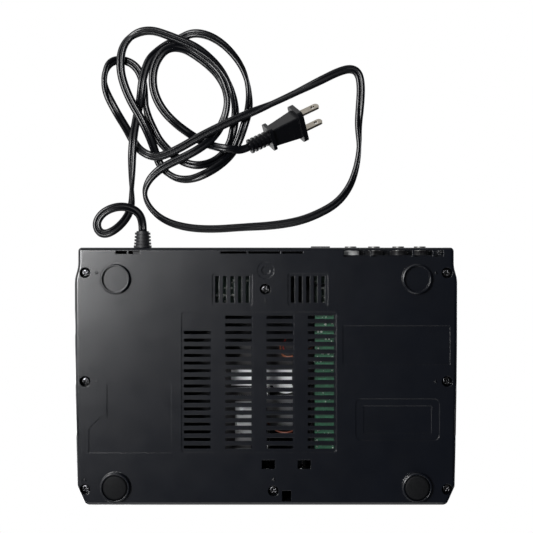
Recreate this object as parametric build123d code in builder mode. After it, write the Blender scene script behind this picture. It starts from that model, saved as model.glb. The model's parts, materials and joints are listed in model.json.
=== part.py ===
from build123d import *
import math
import os

# A disc player that opens from above, in millimetres, standing on its feet.
# +X is right and -Y the front, and the origin lies on the ground under its middle.

# Case
CASE_WIDTH = 264.8
CASE_DEPTH = 178.0
DECK_HEIGHT = 50.0
SPLIT_HEIGHT = 16.0
FOOT_HEIGHT = 3.0
WALL = 2.2
FLOOR = 2.0
REAR_STEP = 2.4
REAR_STEP_DEPTH = (10.0, 25.0)
FRONT_TAPER = 1.8
CORNER_CUT = (5.8, 13.0)
REAR_CORNER_RADIUS = 2.5
FRONT_CORNER_RADIUS = 4.0
TOP_EDGE_RADIUS = 2.2
BOTTOM_EDGE_RADIUS = 2.5
GAP = 0.3
SHAFT_GAP = 0.05

# Posts of the case screws, as insets from the sides, the rear and the front
SCREW_INSET = 7.4
REAR_SCREW_INSET = 17.5
MIDDLE_SCREW_Y = -3.5
FRONT_SCREW_INSET = 11.0
INNER_REAR_SCREW = (0.5, 28.7)
INNER_FRONT_SCREW = (-5.0, 10.0)
SCREW_RECESS_RADIUS = 3.7
SCREW_RECESS_DEPTH = 5.0
SCREW_BOSS_RADIUS = 5.0
SCREW_POST_RADIUS = 3.8
SHORT_POST_RADIUS = 3.5
SHORT_POST_DROP = 10.0
POST_WEB = 2.0

# Feet
FOOT_SIDE_INSET = 28.4
FOOT_REAR_INSET = 21.7
FOOT_FRONT_INSET = 12.7
FOOT_RING_RADIUS = 10.35
FOOT_RECESS_RADIUS = 8.9
FOOT_RECESS_DEPTH = 2.5
FOOT_PAD_RADIUS = 8.0
RING_CHAMFER = 0.6
PAD_CHAMFER = 0.4

# Sunk panels of the floor: centre as (x or inset from the left, y), size, and corner radius
CORNER_PANEL = ((87.6, -16.6), (44.4, 22.8))
CORNER_LEDGE = (65.4, 122.3, -28.0, -52.8)
LEDGE_CUT = 8.0
SIDE_PANEL = ((42.4, 21.6), (74.0, 26.8), 1.0)
FRAME_PANEL = ((41.6, -29.8), (57.8, 28.7), 4.0)
FRAME_PANEL_INNER = (46.7, 18.9)

# Strips, windows and the dimple in the floor. A strip's pair is its inset and its width,
# a window's its centre and its size.
REAR_STRIPS = [(13.1, 31.4), (-9.7, 12.1), (-25.5, -11.0)]
REAR_STRIP = (3.4, 1.6)
SOCKET_STRIPS = [(0.6, 7.0), (8.2, 20.9), (22.1, 50.2), (51.4, 69.4)]
SOCKET_STRIP = (4.1, 4.4)
CORD_STRIPS = (91.0, 100.0)
CORD_STRIP = (7.7, 2.1)
LATCH_WINDOWS = [(-1.6, -60.8), (-26.4, -60.8)]
LATCH_WINDOW = (9.1, 6.3)
FRONT_WINDOW_HOLE = ((-14.2, 6.5), (6.3, 7.4))
DIMPLE = (0.3, 15.8)
DIMPLE_RING_RADIUS = 5.75
DIMPLE_RADIUS = 2.85
DIMPLE_DEPTH = 1.2

# Vents in the floor
VENT_PANEL = (106.9, 96.9)
VENT_PANEL_CENTRE = (4.85, -3.95)
PANEL_SINK = 0.5
VENT_SLOT = (18.0, 2.35)
SLOT_SLOPE = 0.8
VENT_COLUMNS = 4
VENT_COLUMN_PITCH = 28.53
VENT_ROWS = 18
VENT_ROW_PITCH = 5.275
REAR_VENT_SLOT = (2.5, 18.3)
REAR_VENT_COUNT = 5
REAR_VENT_PITCH = 5.25
REAR_VENT_X = (23.3, -28.9)
REAR_VENT_INSET = 28.9
REAR_VENT_FRAME = (27.6, 21.8)

# Disc, its well and the lid
DISC_X = -14.0
DISC_Y = -4.0
WELL_RADIUS = 62.5
WELL_DEPTH = 14.0
LID_RADIUS = 68.0
LID_HEIGHT = 7.2
LID_WALL = 2.0
LID_EDGE_RADIUS = 3.0
HINGE_INSET = 19.0
HINGE_DROP = 4.0
HINGE_SPREAD = 50.0
HINGE_PIN_RADIUS = 1.5
HINGE_SLOT = (7.5, 6.5)
LUG_WIDTH = 6.0
LUG_CLEARANCE = 0.4
LUG_EYE_RADIUS = 3.5
CHEEK = 3.0
CHEEK_SIZE = 10.0
LID_REAR_INSET = 6.0
LID_CORNER = 8.0
LID_GROOVE = (52.5, 54.0, 0.6)

# Clamp in the lid, and the latch
BRIDGE_RADIUS = 24.0
BRIDGE = 1.4
BRIDGE_PADS = 3
BRIDGE_PAD_RADIUS = 2.8
CLAMPER_RADIUS = 14.0
CLAMPER_NECK = 7.0
CLAMPER_RIM = 2.0
CLAMPER_CAP = (10.0, 1.2)
HOOK_WIDTH = 8.0
HOOK_DEPTH = 8.0
HOOK_THICKNESS = 1.6
HOOK_BARB = 1.2
SLIDER = (20.0, 7.4, 2.4)
NOSE_THICKNESS = 1.6
RAMP_WIDTH = 6.0
SHELF = 1.2

# Traverse mechanism
TURNTABLE_RADIUS = 15.0
TURNTABLE_RISE = 4.0
HUB_RADIUS = 7.45
HUB_HEIGHT = 2.5
SPINDLE_RADIUS = 1.2
SPINDLE_MOTOR_RADIUS = 10.5
CHASSIS_DROP = 4.0
CHASSIS_HEIGHT = 8.0
CHASSIS_X = (-62.0, 30.0)
CHASSIS_Y = (-74.5, 22.0)
WINDOW_X = (-32.0, 6.5)
WINDOW_Y = (-70.5, 9.0)
MOTOR_PLATE = 1.5
ROD_RADIUS = 1.5
ROD_SPREAD = 12.6
LENS_REST = 23.0
LENS_TRAVEL = 32.0
SLED_LENGTH = 21.0
SLED_HALF_WIDTH = 15.5
GEAR_MODULE = 0.8
GEAR_TEETH = 20
PINION_TEETH = 8
GEAR_WIDTH = 3.5
GEAR_SHAFT_RADIUS = 1.5
PINION_SHAFT_RADIUS = 1.0
RACK_X = 4.0
GEAR_SETBACK = 17.0
GEAR_CLEARANCE = 1.6
TURNTABLE_CLEARANCE = 2.0
TURNTABLE_THICKNESS = 3.0
KEYHOLE_WIDTH = 26.0
LENS_POD = (18.0, 10.0)
LENS_HOLDER = (10.0, 8.0, 0.8)
LENS_RADIUS = 2.6
LENS_FOCUS = 0.7
DAMPER_INSET = 6.5
DAMPER_RADIUS = 5.6
DAMPER_NECK = 3.6
DAMPER_FLANGE = 1.5
DAMPER_POST_RADIUS = 4.0
EAR_THICKNESS = 4.0
CHASSIS_POCKETS = (-55.0, -40.5)
CHASSIS_POCKET = (6.5, -56.0, -14.0)
PLATE_END_X = 24.8
PLATE_STEP_X = (-40.0, -54.0)
PLATE_Y = (-4.6, 4.0, 12.6)
SLED_MOTOR_RADIUS = 9.0
SLED_MOTOR_LENGTH = 12.5
SLED_MOTOR_FLAT = 1.0
BRACKET_X = (-12.0, 10.0)
BRACKET_Y = (-45.0, -16.0)

# Circuit boards
BOARD = 1.6
BOARD_RISE = 4.0
BOARD_SIDE_INSET = 14.4
MAIN_BOARD_END = -34.0
MAIN_BOARD_FRONT = -56.0
MAIN_BOARD_NOTCH = (26.0, 62.0, 16.0)
POWER_BOARD_START = 8.0
POWER_BOARD_DEPTH = 32.0
BOSS_SIZE = 6.0
BOSS_INSET = 5.0

# Parts of the main board, as (x, y), (width, depth) and height, x from the board's outer edge
CHIPS = [
    ((28.0, -2.0), (28.0, 28.0), 2.6),
    ((63.0, 0.0), (22.0, 12.0), 1.2),
    ((59.0, 26.0), (14.0, 8.0), 1.6),
    ((21.0, 31.0), (14.0, 6.0), 1.8),
    ((61.0, -30.0), (26.0, 8.0), 2.2),
]
CONNECTORS = [
    ((79.0, -5.0), (6.0, 30.0), 4.0),
    ((45.0, -52.5), (22.0, 5.0), 5.0),
    ((79.0, 34.0), (6.0, 20.0), 6.0),
]
TALL_CAPACITORS = [(10.0, 44.0), (22.0, 48.0), (34.0, 46.0), (46.0, 50.0), (8.0, -30.0)]
TALL_CAPACITOR = (4.0, 11.0)
LOW_CAPACITORS = [(20.0, -40.0), (32.0, -36.0), (42.0, -44.0)]
LOW_CAPACITOR = (2.5, 7.0)

# Parts of the power board, x from the board's inner edge
TRANSFORMER_X = 61.0
TRANSFORMER_CORE = (30.0, 10.0, 24.0)
TRANSFORMER_COIL = (22.0, 24.0, 4.0, 20.0)
BULK_CAPACITOR_X = 89.0
BULK_CAPACITOR = (9.0, 26.0)
HEAT_SINK_X = 6.0
HEAT_SINK = (24.0, 2.0, 22.0)
HEAT_SINK_FINS = 6
HEAT_SINK_FIN = (1.4, 14.0)
OUTLET = (91.0, 18.0, 4.5, 6.0)
FUSE_X = 88.0
FUSE = (2.6, 20.0, 3.4)
FUSE_CLIP = (3.0, 5.6)
FUSE_CLIP_SPREAD = 15.0
OUTPUT_CAPACITORS = [(40.0, 4.0), (40.0, -6.0)]
OUTPUT_CAPACITOR = (4.0, 14.0)

# Controls and front window
PANEL_INSET = 10.4
PANEL_WIDTH = 56.0
PANEL_Y = (-44.0, 62.0)
PANEL_THICKNESS = 1.2
BUTTON_TRAVEL = 0.8
BUTTON_RISE = 1.6
OPEN_BUTTON = (34.0, 9.0)
OPEN_TRAVEL = 2.0
OPEN_RISE = 2.5
BUTTON_CHAMFER = 0.6
BUTTON_STEM = (4.0, 4.0)
BUTTON_LIP = 1.0
LIP_THICKNESS = 1.2
BUTTON_BOARD_DROP = 10.0
BUTTON_BOARD_INSET = 3.0
BUTTON_BOARD_Y = (-42.0, 58.0)
BUTTON_POST_RADIUS = 3.0
SWITCH = (6.0, 3.5)
PLUNGER = (3.4, 0.3)
WINDOW = (70.0, 16.0)
WINDOW_X_CENTRE = 60.0
WINDOW_DROP = 18.0
WINDOW_PROUD = 1.0
WINDOW_CORNER = 3.0
WINDOW_FLANGE = 1.5
WINDOW_LIP = 2.0
DISPLAY_BOARD = (64.0, 20.0)
DISPLAY_RIB = 1.7
DISPLAY_MODULE = (34.0, 3.4, 13.0)
DISPLAY_MODULE_SHIFT = -5.0
RECEIVER = (6.0, 2.4, 8.0)
RECEIVER_SHIFT = 24.0
RECEIVER_DOME_RADIUS = 2.0

# Sockets
SOCKET_INSET = (23.9, 39.1, 56.2, 72.7)
SOCKET_DROP = 31.4
BARREL_RADIUS = 4.15
BARREL_SEAT = 3.9
SOCKET_HOLE = 1.65
COLLAR_RADIUS = 6.0
COLLAR_LENGTH = 3.0
BAY_INSET = (9.4, 80.4)
BAY_DEPTH = 5.0
DIGITAL_X = (-44.6, -31.8)
DIGITAL_Z = (12.0, 24.0)

# Mains cord and plug
RELIEF_INSET = 46.4
RELIEF_Z = 10.0
NOTCH_RADIUS = 4.6
RELIEF_LENGTH = 11.5
RELIEF_CORE = (4.9, 4.3)
RELIEF_FLANGE = 6.2
RELIEF_COLLAR = 1.6
RELIEF_GRIP = 2.5
RELIEF_TAIL = 4.0
RELIEF_RIBS = 4
RELIEF_RIB_PITCH = 2.3
RELIEF_RIB = 1.4
RELIEF_RIB_RADII = (5.9, 5.2)
CORD_DIAMETER = 3.6
CORD_SIDES = 6
CORD_LEAST_GAP = 0.4
PLUG_ROLL = 40.0
PLUG_TAIL_RADII = (3.4, 4.4)
PLUG_RIB_RADIUS = 5.2
PLUG_RIBS = 5
PLUG_RIB_PITCH = 3.0
PLUG_COLLAR = (15.5, 18.0)
PLUG_COLLAR_SIZE = (17.0, 13.5)
PLUG_WAIST_SIZE = (13.0, 9.5)
PLUG_FACE = 38.0
PLUG_FACE_SIZE = (23.4, 18.0)
PLUG_LENGTH = 41.5
BLADE = (1.5, 6.3, 16.0)
BLADE_CORNER = 2.5
BLADE_HOLE = (1.6, 4.5)
BLADE_SPACING = 12.7

# Places worked out from the sizes above
SIDE = CASE_WIDTH / 2
REAR = CASE_DEPTH / 2
FRONT = -CASE_DEPTH / 2
INNER_REAR = REAR - WALL
INNER_FRONT = FRONT + WALL
FLOOR_TOP = FOOT_HEIGHT + FLOOR
DECK_UNDER = DECK_HEIGHT - WALL
WELL_FLOOR = DECK_HEIGHT - WELL_DEPTH
WELL_UNDER = WELL_FLOOR - FLOOR
LID_UNDER = DECK_HEIGHT + GAP
LID_TOP = LID_UNDER + LID_HEIGHT
LID_CEILING = LID_TOP - LID_WALL
HINGE_Y = REAR - HINGE_INSET
HINGE_Z = DECK_HEIGHT - HINGE_DROP
HINGE_XS = (DISC_X - HINGE_SPREAD, DISC_X + HINGE_SPREAD)
LID_REAR = HINGE_Y - LID_REAR_INSET
LID_FRONT = DISC_Y - LID_RADIUS
CHASSIS_TOP = WELL_FLOOR - CHASSIS_DROP
CHASSIS_UNDER = CHASSIS_TOP - CHASSIS_HEIGHT
TURNTABLE_TOP = WELL_FLOOR + TURNTABLE_RISE
BOARD_UNDER = FLOOR_TOP + BOARD_RISE
BOARD_TOP = BOARD_UNDER + BOARD
BOARD_REAR = INNER_REAR - RELIEF_GRIP - RELIEF_TAIL - GAP
MAIN_BOARD_X = (-SIDE + BOARD_SIDE_INSET, MAIN_BOARD_END)
POWER_BOARD_X = (POWER_BOARD_START, SIDE - BOARD_SIDE_INSET)
POWER_Y = BOARD_REAR - POWER_BOARD_DEPTH / 2
SOCKET_Z = DECK_HEIGHT - SOCKET_DROP
SOCKET_XS = [-SIDE + inset for inset in SOCKET_INSET]
BAY_X = (-SIDE + BAY_INSET[0], -SIDE + BAY_INSET[1])
BAY_WALL = (INNER_REAR - BAY_DEPTH, INNER_REAR - BAY_DEPTH + 2.0)
RELIEF_X = SIDE - RELIEF_INSET
PANEL_X = (SIDE - PANEL_INSET - PANEL_WIDTH, SIDE - PANEL_INSET)
PANEL_CENTRE = (PANEL_X[0] + PANEL_X[1]) / 2
SCREWS = [
    (side * (SIDE - SCREW_INSET), y)
    for side in (1, -1)
    for y in (REAR - REAR_SCREW_INSET, MIDDLE_SCREW_Y, FRONT + FRONT_SCREW_INSET)
] + [(INNER_REAR_SCREW[0], REAR - INNER_REAR_SCREW[1])]
FRONT_SCREW = (INNER_FRONT_SCREW[0], FRONT + INNER_FRONT_SCREW[1])
REAR_FEET = [(side * (SIDE - FOOT_SIDE_INSET), REAR - FOOT_REAR_INSET) for side in (1, -1)]
FRONT_FEET = [(side * (SIDE - FOOT_SIDE_INSET), FRONT + FOOT_FRONT_INSET) for side in (1, -1)]

# The route of the free cord, from the strain relief to the plug. It lies on the
# ground, crosses over itself in low humps, and ends along the axis of the plug.
CORD_ROUTE = [
    (86, 100.5, 10), (86, 106.5, 10), (88, 112.5, 7.8), (92.5, 116, 5), (99.5, 117.5, 2.9),
    (107, 116, 1.9), (113.5, 112, 1.9), (117, 106, 1.9), (115.5, 100, 1.9), (111, 98, 1.9),
    (105, 100.5, 1.9), (99.5, 105.5, 4.2), (95.5, 112.5, 9.5), (93.5, 120, 10), (93, 129.5, 5),
    (92.5, 141, 1.9), (92.3, 153.5, 1.9), (91.5, 164.5, 1.9), (90.5, 174, 5.2), (89, 183.5, 7.4),
    (86.5, 193, 3.2), (85.5, 202.5, 1.9), (83.5, 211.5, 1.9), (80.5, 219.5, 1.9), (75, 225.5, 4.6),
    (68.5, 230, 6.6), (60.5, 233.5, 6.6), (51.5, 237, 2.6), (42, 236, 1.9), (32.5, 231.5, 1.9),
    (24, 224, 1.9), (17, 214.5, 1.9), (13, 204, 1.9), (11.5, 193.5, 3.4), (12, 184, 6.6),
    (15, 174, 6.6), (19, 163, 7.6), (23.5, 154, 8.4), (31.5, 146, 4), (41, 140, 1.9),
    (51, 136, 1.9), (60.5, 136, 1.9), (68, 140, 6), (73.5, 146, 6.8), (76.5, 154, 6.6),
    (79, 162, 3.6), (82.5, 170.5, 1.9), (87.2, 179.7, 1.9), (92.5, 188.5, 1.9), (97, 198.5, 1.9),
    (100, 208.5, 1.9), (100.5, 219, 1.9), (98.5, 228, 1.9), (93.5, 234.5, 1.9), (86, 238, 1.9),
    (78, 238.5, 1.9), (69.3, 235.8, 1.9), (59.5, 232, 1.9), (49, 227.5, 1.9), (39.5, 221, 1.9),
    (31.5, 213, 1.9), (26, 204, 1.9), (22.5, 194, 2.6), (21, 184, 6.6), (22, 173.5, 6.6),
    (24.5, 163.5, 6.6), (29, 155, 7), (36.5, 148.5, 6.6), (46, 145.5, 4), (55, 147, 5.6),
    (62.5, 151.5, 6.6), (68.5, 157, 6.6), (74, 163, 5.6), (78, 170.5, 6.2), (81.5, 178.5, 6.6),
    (83.5, 187, 6.6), (84.5, 196, 7), (85.5, 205, 7), (88.5, 212.5, 6.4), (94, 217.5, 6.6),
    (101.5, 219.5, 6.6), (107.5, 217, 3), (111, 211, 1.9), (112, 203.5, 1.9), (110, 195.5, 1.9),
    (106, 187.5, 1.9), (101.5, 179.5, 1.9), (96.5, 171, 4.8), (93, 164, 7.4), (88.5, 157.5, 5.4),
    (82.5, 153, 1.9), (75, 151, 1.9), (66.5, 154, 1.9), (58, 158.2, 1.9), (45.5, 165.5, 1.9),
    (30.5, 173, 1.9), (14, 180.5, 1.9), (-4, 188, 1.9), (-22, 196.5, 1.9), (-38, 204.3, 1.9),
    (-49.5, 210, 1.9), (-58.5, 212.5, 1.9), (-64, 209, 1.9), (-65.5, 200, 1.9), (-64.8, 187, 1.9),
    (-63.5, 173, 1.9), (-64.5, 158.5, 1.9), (-62.5, 144, 1.9), (-58, 131, 1.9), (-49.5, 120, 1.9),
    (-38, 113, 1.9), (-23, 107, 1.9), (-4, 104, 1.9), (16.5, 103, 1.9), (36.5, 101.5, 1.9),
    (54.5, 102.5, 1.9), (69.5, 107, 1.9), (79.5, 115, 1.9), (84.5, 125.5, 1.9), (81.5, 135, 1.9),
    (74, 142.5, 1.9), (65, 147.5, 1.9), (55, 152, 1.9), (46, 157, 1.9), (38.5, 163, 2.2),
    (32.5, 171, 7), (28.5, 180, 6.6), (26.5, 190, 5.8), (28.5, 199.5, 5.6), (33, 208.5, 5.6),
    (40, 215.5, 5.6), (48, 221.5, 5.6), (56, 226.5, 4.8), (64, 227.5, 2.6), (70.5, 224.5, 1.9),
    (75.5, 217.5, 1.9), (78, 209.5, 1.9), (78, 199.5, 1.9), (75, 190, 1.9), (69.5, 181.5, 1.9),
    (62, 174, 1.9), (55, 169, 4.6), (48.5, 165, 7), (41, 161, 7.6), (32.5, 158, 2.6),
    (24.5, 157, 1.9), (17.3, 156.2, 6.1), (12, 158.9, 7.4),
]

os.makedirs("parts", exist_ok=True)


def save(piece, name):
    """Labels a finished piece and writes it to its own file."""
    piece.part.label = name
    export_step(piece.part, f"parts/{name}.step")


def block(x, y, z, mode=Mode.ADD):
    """A block between two planes on each axis."""
    middle = tuple((low + high) / 2 for low, high in (x, y, z))
    with Locations(middle):
        Box(x[1] - x[0], y[1] - y[0], z[1] - z[0], mode=mode)


def stand(centre, size, z, mode=Mode.ADD):
    """A block that stands at the point (x, y) between two heights."""
    with Locations((centre[0], centre[1], (z[0] + z[1]) / 2)):
        Box(size[0], size[1], z[1] - z[0], mode=mode)


def round_x(centre, radius, x, mode=Mode.ADD):
    """A cylinder along X through the point (y, z)."""
    with Locations(((x[0] + x[1]) / 2, centre[0], centre[1])):
        Cylinder(radius, x[1] - x[0], rotation=(0, 90, 0), mode=mode)


def round_y(centre, radius, y, mode=Mode.ADD):
    """A cylinder along Y through the point (x, z)."""
    with Locations((centre[0], (y[0] + y[1]) / 2, centre[1])):
        Cylinder(radius, y[1] - y[0], rotation=(90, 0, 0), mode=mode)


def round_z(centres, radius, z, mode=Mode.ADD):
    """Upright cylinders at the points (x, y)."""
    with Locations(*[(x, y, (z[0] + z[1]) / 2) for x, y in centres]):
        Cylinder(radius, z[1] - z[0], mode=mode)


def case_plan(inset):
    """Plan of the case, drawn in by the thickness of a wall."""
    step_x = SIDE - REAR_STEP
    step_start = REAR - REAR_STEP_DEPTH[0]
    step_end = REAR - REAR_STEP_DEPTH[1]
    front_x = SIDE - FRONT_TAPER
    with BuildSketch() as plan:
        with BuildLine():
            Line((0, REAR), (step_x, REAR))
            Line((step_x, REAR), (step_x, step_start))
            middle = (step_x + REAR_STEP / 2, (step_start + step_end) / 2)
            first = TangentArc((step_x, step_start), middle, tangent=(0, -1))
            second = TangentArc(middle, (SIDE, step_end), tangent=first % 1)
            TangentArc((SIDE, step_end), (front_x, FRONT + CORNER_CUT[1]), tangent=second % 1)
            Line((front_x, FRONT + CORNER_CUT[1]), (front_x - CORNER_CUT[0], FRONT))
            Line((front_x - CORNER_CUT[0], FRONT), (0, FRONT))
            mirror(about=Plane.YZ)
        make_face()
        corners = plan.vertices().filter_by(lambda v: abs(v.X) > 1)
        fillet(corners.filter_by(lambda v: v.Y > REAR - 1), radius=REAR_CORNER_RADIUS)
        corners = plan.vertices().filter_by(lambda v: abs(v.X) > 1)
        fillet(corners.filter_by(lambda v: v.Y < FRONT + 1), radius=FRONT_CORNER_RADIUS)
        if inset:
            offset(amount=-inset, kind=Kind.INTERSECTION)
    return plan.sketch


CASE_PLAN = case_plan(0)
CASE_HOLLOW = case_plan(WALL)

# Bottom case
VENT_COLUMN_XS = [
    VENT_PANEL_CENTRE[0] + (column - (VENT_COLUMNS - 1) / 2) * VENT_COLUMN_PITCH
    for column in range(VENT_COLUMNS)
]
VENT_ROW_YS = [
    VENT_PANEL_CENTRE[1] + (row - (VENT_ROWS - 1) / 2) * VENT_ROW_PITCH
    for row in range(VENT_ROWS)
]
VENT_SLOTS = [
    (x, y)
    for x in VENT_COLUMN_XS
    for y in VENT_ROW_YS
    if not (x == VENT_COLUMN_XS[-1] and y in VENT_ROW_YS[-2:])
]
REAR_VENT_Y = REAR - REAR_VENT_INSET
MAIN_BOSSES = [
    (x, y)
    for x in (MAIN_BOARD_X[0] + BOSS_INSET, -51.0)
    for y in (MAIN_BOARD_FRONT + BOSS_INSET, 56.0)
]
POWER_BOSSES = [
    (x, y)
    for x in (42.0, POWER_BOARD_X[1] - BOSS_INSET)
    for y in (BOARD_REAR - POWER_BOARD_DEPTH + BOSS_INSET, BOARD_REAR - BOSS_INSET)
]

with BuildPart() as vent_cutter:
    with BuildSketch(Plane.XZ.offset(-VENT_SLOT[1] / 2)):
        with BuildLine():
            Polyline(
                (-VENT_SLOT[0] / 2 - SLOT_SLOPE, -PANEL_SINK), (VENT_SLOT[0] / 2, -PANEL_SINK),
                (VENT_SLOT[0] / 2, FLOOR), (-VENT_SLOT[0] / 2, FLOOR),
                (-VENT_SLOT[0] / 2, FLOOR / 2), (-VENT_SLOT[0] / 2 - SLOT_SLOPE, 0), close=True,
            )
        make_face()
    extrude(amount=VENT_SLOT[1])
VENT_CUTTER = vent_cutter.part

with BuildPart() as bottom_case:
    with BuildSketch(Plane.XY.offset(FOOT_HEIGHT)):
        add(CASE_PLAN)
    extrude(amount=SPLIT_HEIGHT - FOOT_HEIGHT)
    fillet(bottom_case.faces().sort_by(Axis.Z)[0].edges(), radius=BOTTOM_EDGE_RADIUS)
    with BuildSketch(Plane.XY.offset(FLOOR_TOP)):
        add(CASE_HOLLOW)
        with Locations(*SCREWS, FRONT_SCREW):
            Circle(SCREW_BOSS_RADIUS, mode=Mode.SUBTRACT)
    extrude(amount=SPLIT_HEIGHT - FLOOR_TOP, mode=Mode.SUBTRACT)
    # Foot rings, each round a recess for a pad
    with BuildSketch():
        with Locations(*REAR_FEET, *FRONT_FEET):
            Circle(FOOT_RING_RADIUS)
    extrude(amount=FOOT_HEIGHT)
    with BuildSketch():
        with Locations(*REAR_FEET, *FRONT_FEET):
            Circle(FOOT_RECESS_RADIUS)
    extrude(amount=FOOT_RECESS_DEPTH, mode=Mode.SUBTRACT)
    ring_edges = bottom_case.edges().group_by(Axis.Z)[0]
    chamfer(ring_edges.filter_by(lambda e: e.radius > FOOT_RECESS_RADIUS + GAP), length=RING_CHAMFER)
    # Screw recesses from below
    with BuildSketch(Plane.XY.offset(FOOT_HEIGHT)):
        with Locations(*SCREWS, FRONT_SCREW):
            Circle(SCREW_RECESS_RADIUS)
    extrude(amount=SCREW_RECESS_DEPTH, mode=Mode.SUBTRACT)
    # Sunk panels of the underside
    with BuildSketch(Plane.XY.offset(FOOT_HEIGHT)):
        with Locations(VENT_PANEL_CENTRE):
            RectangleRounded(*VENT_PANEL, 2)
        with Locations(*[(x, REAR_VENT_Y) for x in REAR_VENT_X]):
            RectangleRounded(*REAR_VENT_FRAME, 1.5)
        with Locations(CORNER_PANEL[0]):
            Rectangle(*CORNER_PANEL[1])
        low_x, high_x, top_y, low_y = CORNER_LEDGE
        with BuildLine():
            Polyline(
                (low_x, top_y), (low_x, low_y), (high_x, low_y),
                (high_x, top_y - LEDGE_CUT), (high_x - LEDGE_CUT, top_y), close=True,
            )
        make_face()
        for (inset, y), size, corner in (SIDE_PANEL, FRAME_PANEL):
            with Locations((-SIDE + inset, y)):
                RectangleRounded(*size, corner)
    extrude(amount=PANEL_SINK, mode=Mode.SUBTRACT)
    with BuildSketch(Plane.XY.offset(FOOT_HEIGHT + PANEL_SINK)):
        with Locations((-SIDE + FRAME_PANEL[0][0], FRAME_PANEL[0][1])):
            Rectangle(*FRAME_PANEL_INNER)
    extrude(amount=PANEL_SINK / 2, mode=Mode.SUBTRACT)
    # Vent slots, thin slots at the rear and open windows in the floor
    with BuildSketch(Plane.XY.offset(FOOT_HEIGHT)):
        for x in REAR_VENT_X:
            with Locations((x, REAR_VENT_Y)):
                with GridLocations(REAR_VENT_PITCH, 1, REAR_VENT_COUNT, 1):
                    Rectangle(*REAR_VENT_SLOT)
        for low, high in REAR_STRIPS:
            with Locations(((low + high) / 2, REAR - REAR_STRIP[0])):
                Rectangle(high - low, REAR_STRIP[1])
        for low, high in SOCKET_STRIPS:
            with Locations((BAY_X[0] + (low + high) / 2, REAR - SOCKET_STRIP[0])):
                Rectangle(high - low, SOCKET_STRIP[1])
        with Locations(*[(x, REAR - REAR_STRIP[0]) for x in CORD_STRIPS]):
            Rectangle(*CORD_STRIP)
        with Locations(*LATCH_WINDOWS):
            Rectangle(*LATCH_WINDOW)
        with Locations((FRONT_WINDOW_HOLE[0][0], FRONT + FRONT_WINDOW_HOLE[0][1])):
            Rectangle(*FRONT_WINDOW_HOLE[1])
    extrude(amount=FLOOR, mode=Mode.SUBTRACT)
    # Main vent slots, each with one end sloped toward the outside
    with Locations(*[(x, y, FOOT_HEIGHT + PANEL_SINK) for x, y in VENT_SLOTS]):
        add(VENT_CUTTER, mode=Mode.SUBTRACT)
    # A dimple in a shallow ring near the rear edge
    with BuildSketch(Plane.XY.offset(FOOT_HEIGHT)):
        with Locations((DIMPLE[0], REAR - DIMPLE[1])):
            Circle(DIMPLE_RING_RADIUS)
    extrude(amount=PANEL_SINK / 2, mode=Mode.SUBTRACT)
    dimple = [(DIMPLE[0], REAR - DIMPLE[1])]
    round_z(dimple, DIMPLE_RADIUS, (FOOT_HEIGHT, FOOT_HEIGHT + DIMPLE_DEPTH), Mode.SUBTRACT)
    # The sockets' bay, the square socket's window and the cord's notch
    block(BAY_X, (BAY_WALL[0], REAR + 1), (FLOOR_TOP, SPLIT_HEIGHT), Mode.SUBTRACT)
    block(
        (DIGITAL_X[0] - GAP, DIGITAL_X[1] + GAP), (INNER_REAR - 1, REAR + 1),
        (DIGITAL_Z[0] - GAP, SPLIT_HEIGHT), Mode.SUBTRACT,
    )
    round_y((RELIEF_X, RELIEF_Z), NOTCH_RADIUS, (INNER_REAR - 1, REAR + 1), Mode.SUBTRACT)
    block(
        (RELIEF_X - NOTCH_RADIUS, RELIEF_X + NOTCH_RADIUS), (INNER_REAR - 1, REAR + 1),
        (RELIEF_Z, SPLIT_HEIGHT), Mode.SUBTRACT,
    )
    # Bosses under the circuit boards
    for centre in (*MAIN_BOSSES, *POWER_BOSSES):
        stand(centre, (BOSS_SIZE, BOSS_SIZE), (FLOOR_TOP, BOARD_UNDER))
save(bottom_case, "bottom_case")

with BuildPart() as front_pads:
    with BuildSketch():
        with Locations(*FRONT_FEET):
            Circle(FOOT_PAD_RADIUS)
    extrude(amount=FOOT_RECESS_DEPTH)
    chamfer(front_pads.faces().filter_by(Plane.XY).group_by(Axis.Z)[0].edges(), length=PAD_CHAMFER)
save(front_pads, "front_pads")

# Top case, with the disc well hanging from its deck
LENS_END = DISC_Y - LENS_REST - LENS_TRAVEL
DAMPERS = [
    (x, y)
    for x in (CHASSIS_X[0] + DAMPER_INSET, CHASSIS_X[1] - DAMPER_INSET)
    for y in (CHASSIS_Y[0] + DAMPER_INSET, CHASSIS_Y[1] - DAMPER_INSET)
]
DAMPER_TOP = CHASSIS_UNDER + EAR_THICKNESS + DAMPER_FLANGE
HOOK_X = (DISC_X - HOOK_WIDTH, DISC_X)
HOOK_Y = (LID_FRONT + 1.2, LID_FRONT + 1.2 + HOOK_THICKNESS)
OPEN_CENTRE = (DISC_X, LID_FRONT - 8.0)
BUTTONS = {
    "power_button": (0.0, 46.0, 6.5),
    "pause_button": (0.0, 14.0, 5.5),
    "play_button": (0.0, -8.0, 8.0),
    "previous_button": (-16.5, -8.0, 5.0),
    "next_button": (16.5, -8.0, 5.0),
    "stop_button": (0.0, -30.0, 5.5),
}
BUTTON_BOARD_TOP = DECK_HEIGHT - BUTTON_BOARD_DROP
BUTTON_BOARD_X = (PANEL_X[0] + BUTTON_BOARD_INSET, PANEL_X[1] - BUTTON_BOARD_INSET)
BUTTON_POSTS = [(PANEL_CENTRE + dx, y) for dx, y in ((-20.0, 30.0), (20.0, 30.0), (0.0, -20.0))]
DISPLAY_X = (WINDOW_X_CENTRE - DISPLAY_BOARD[0] / 2, WINDOW_X_CENTRE + DISPLAY_BOARD[0] / 2)
WINDOW_Z = DECK_HEIGHT - WINDOW_DROP
WINDOW_FLANGE_Y = (INNER_FRONT, INNER_FRONT + WINDOW_FLANGE)
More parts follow.
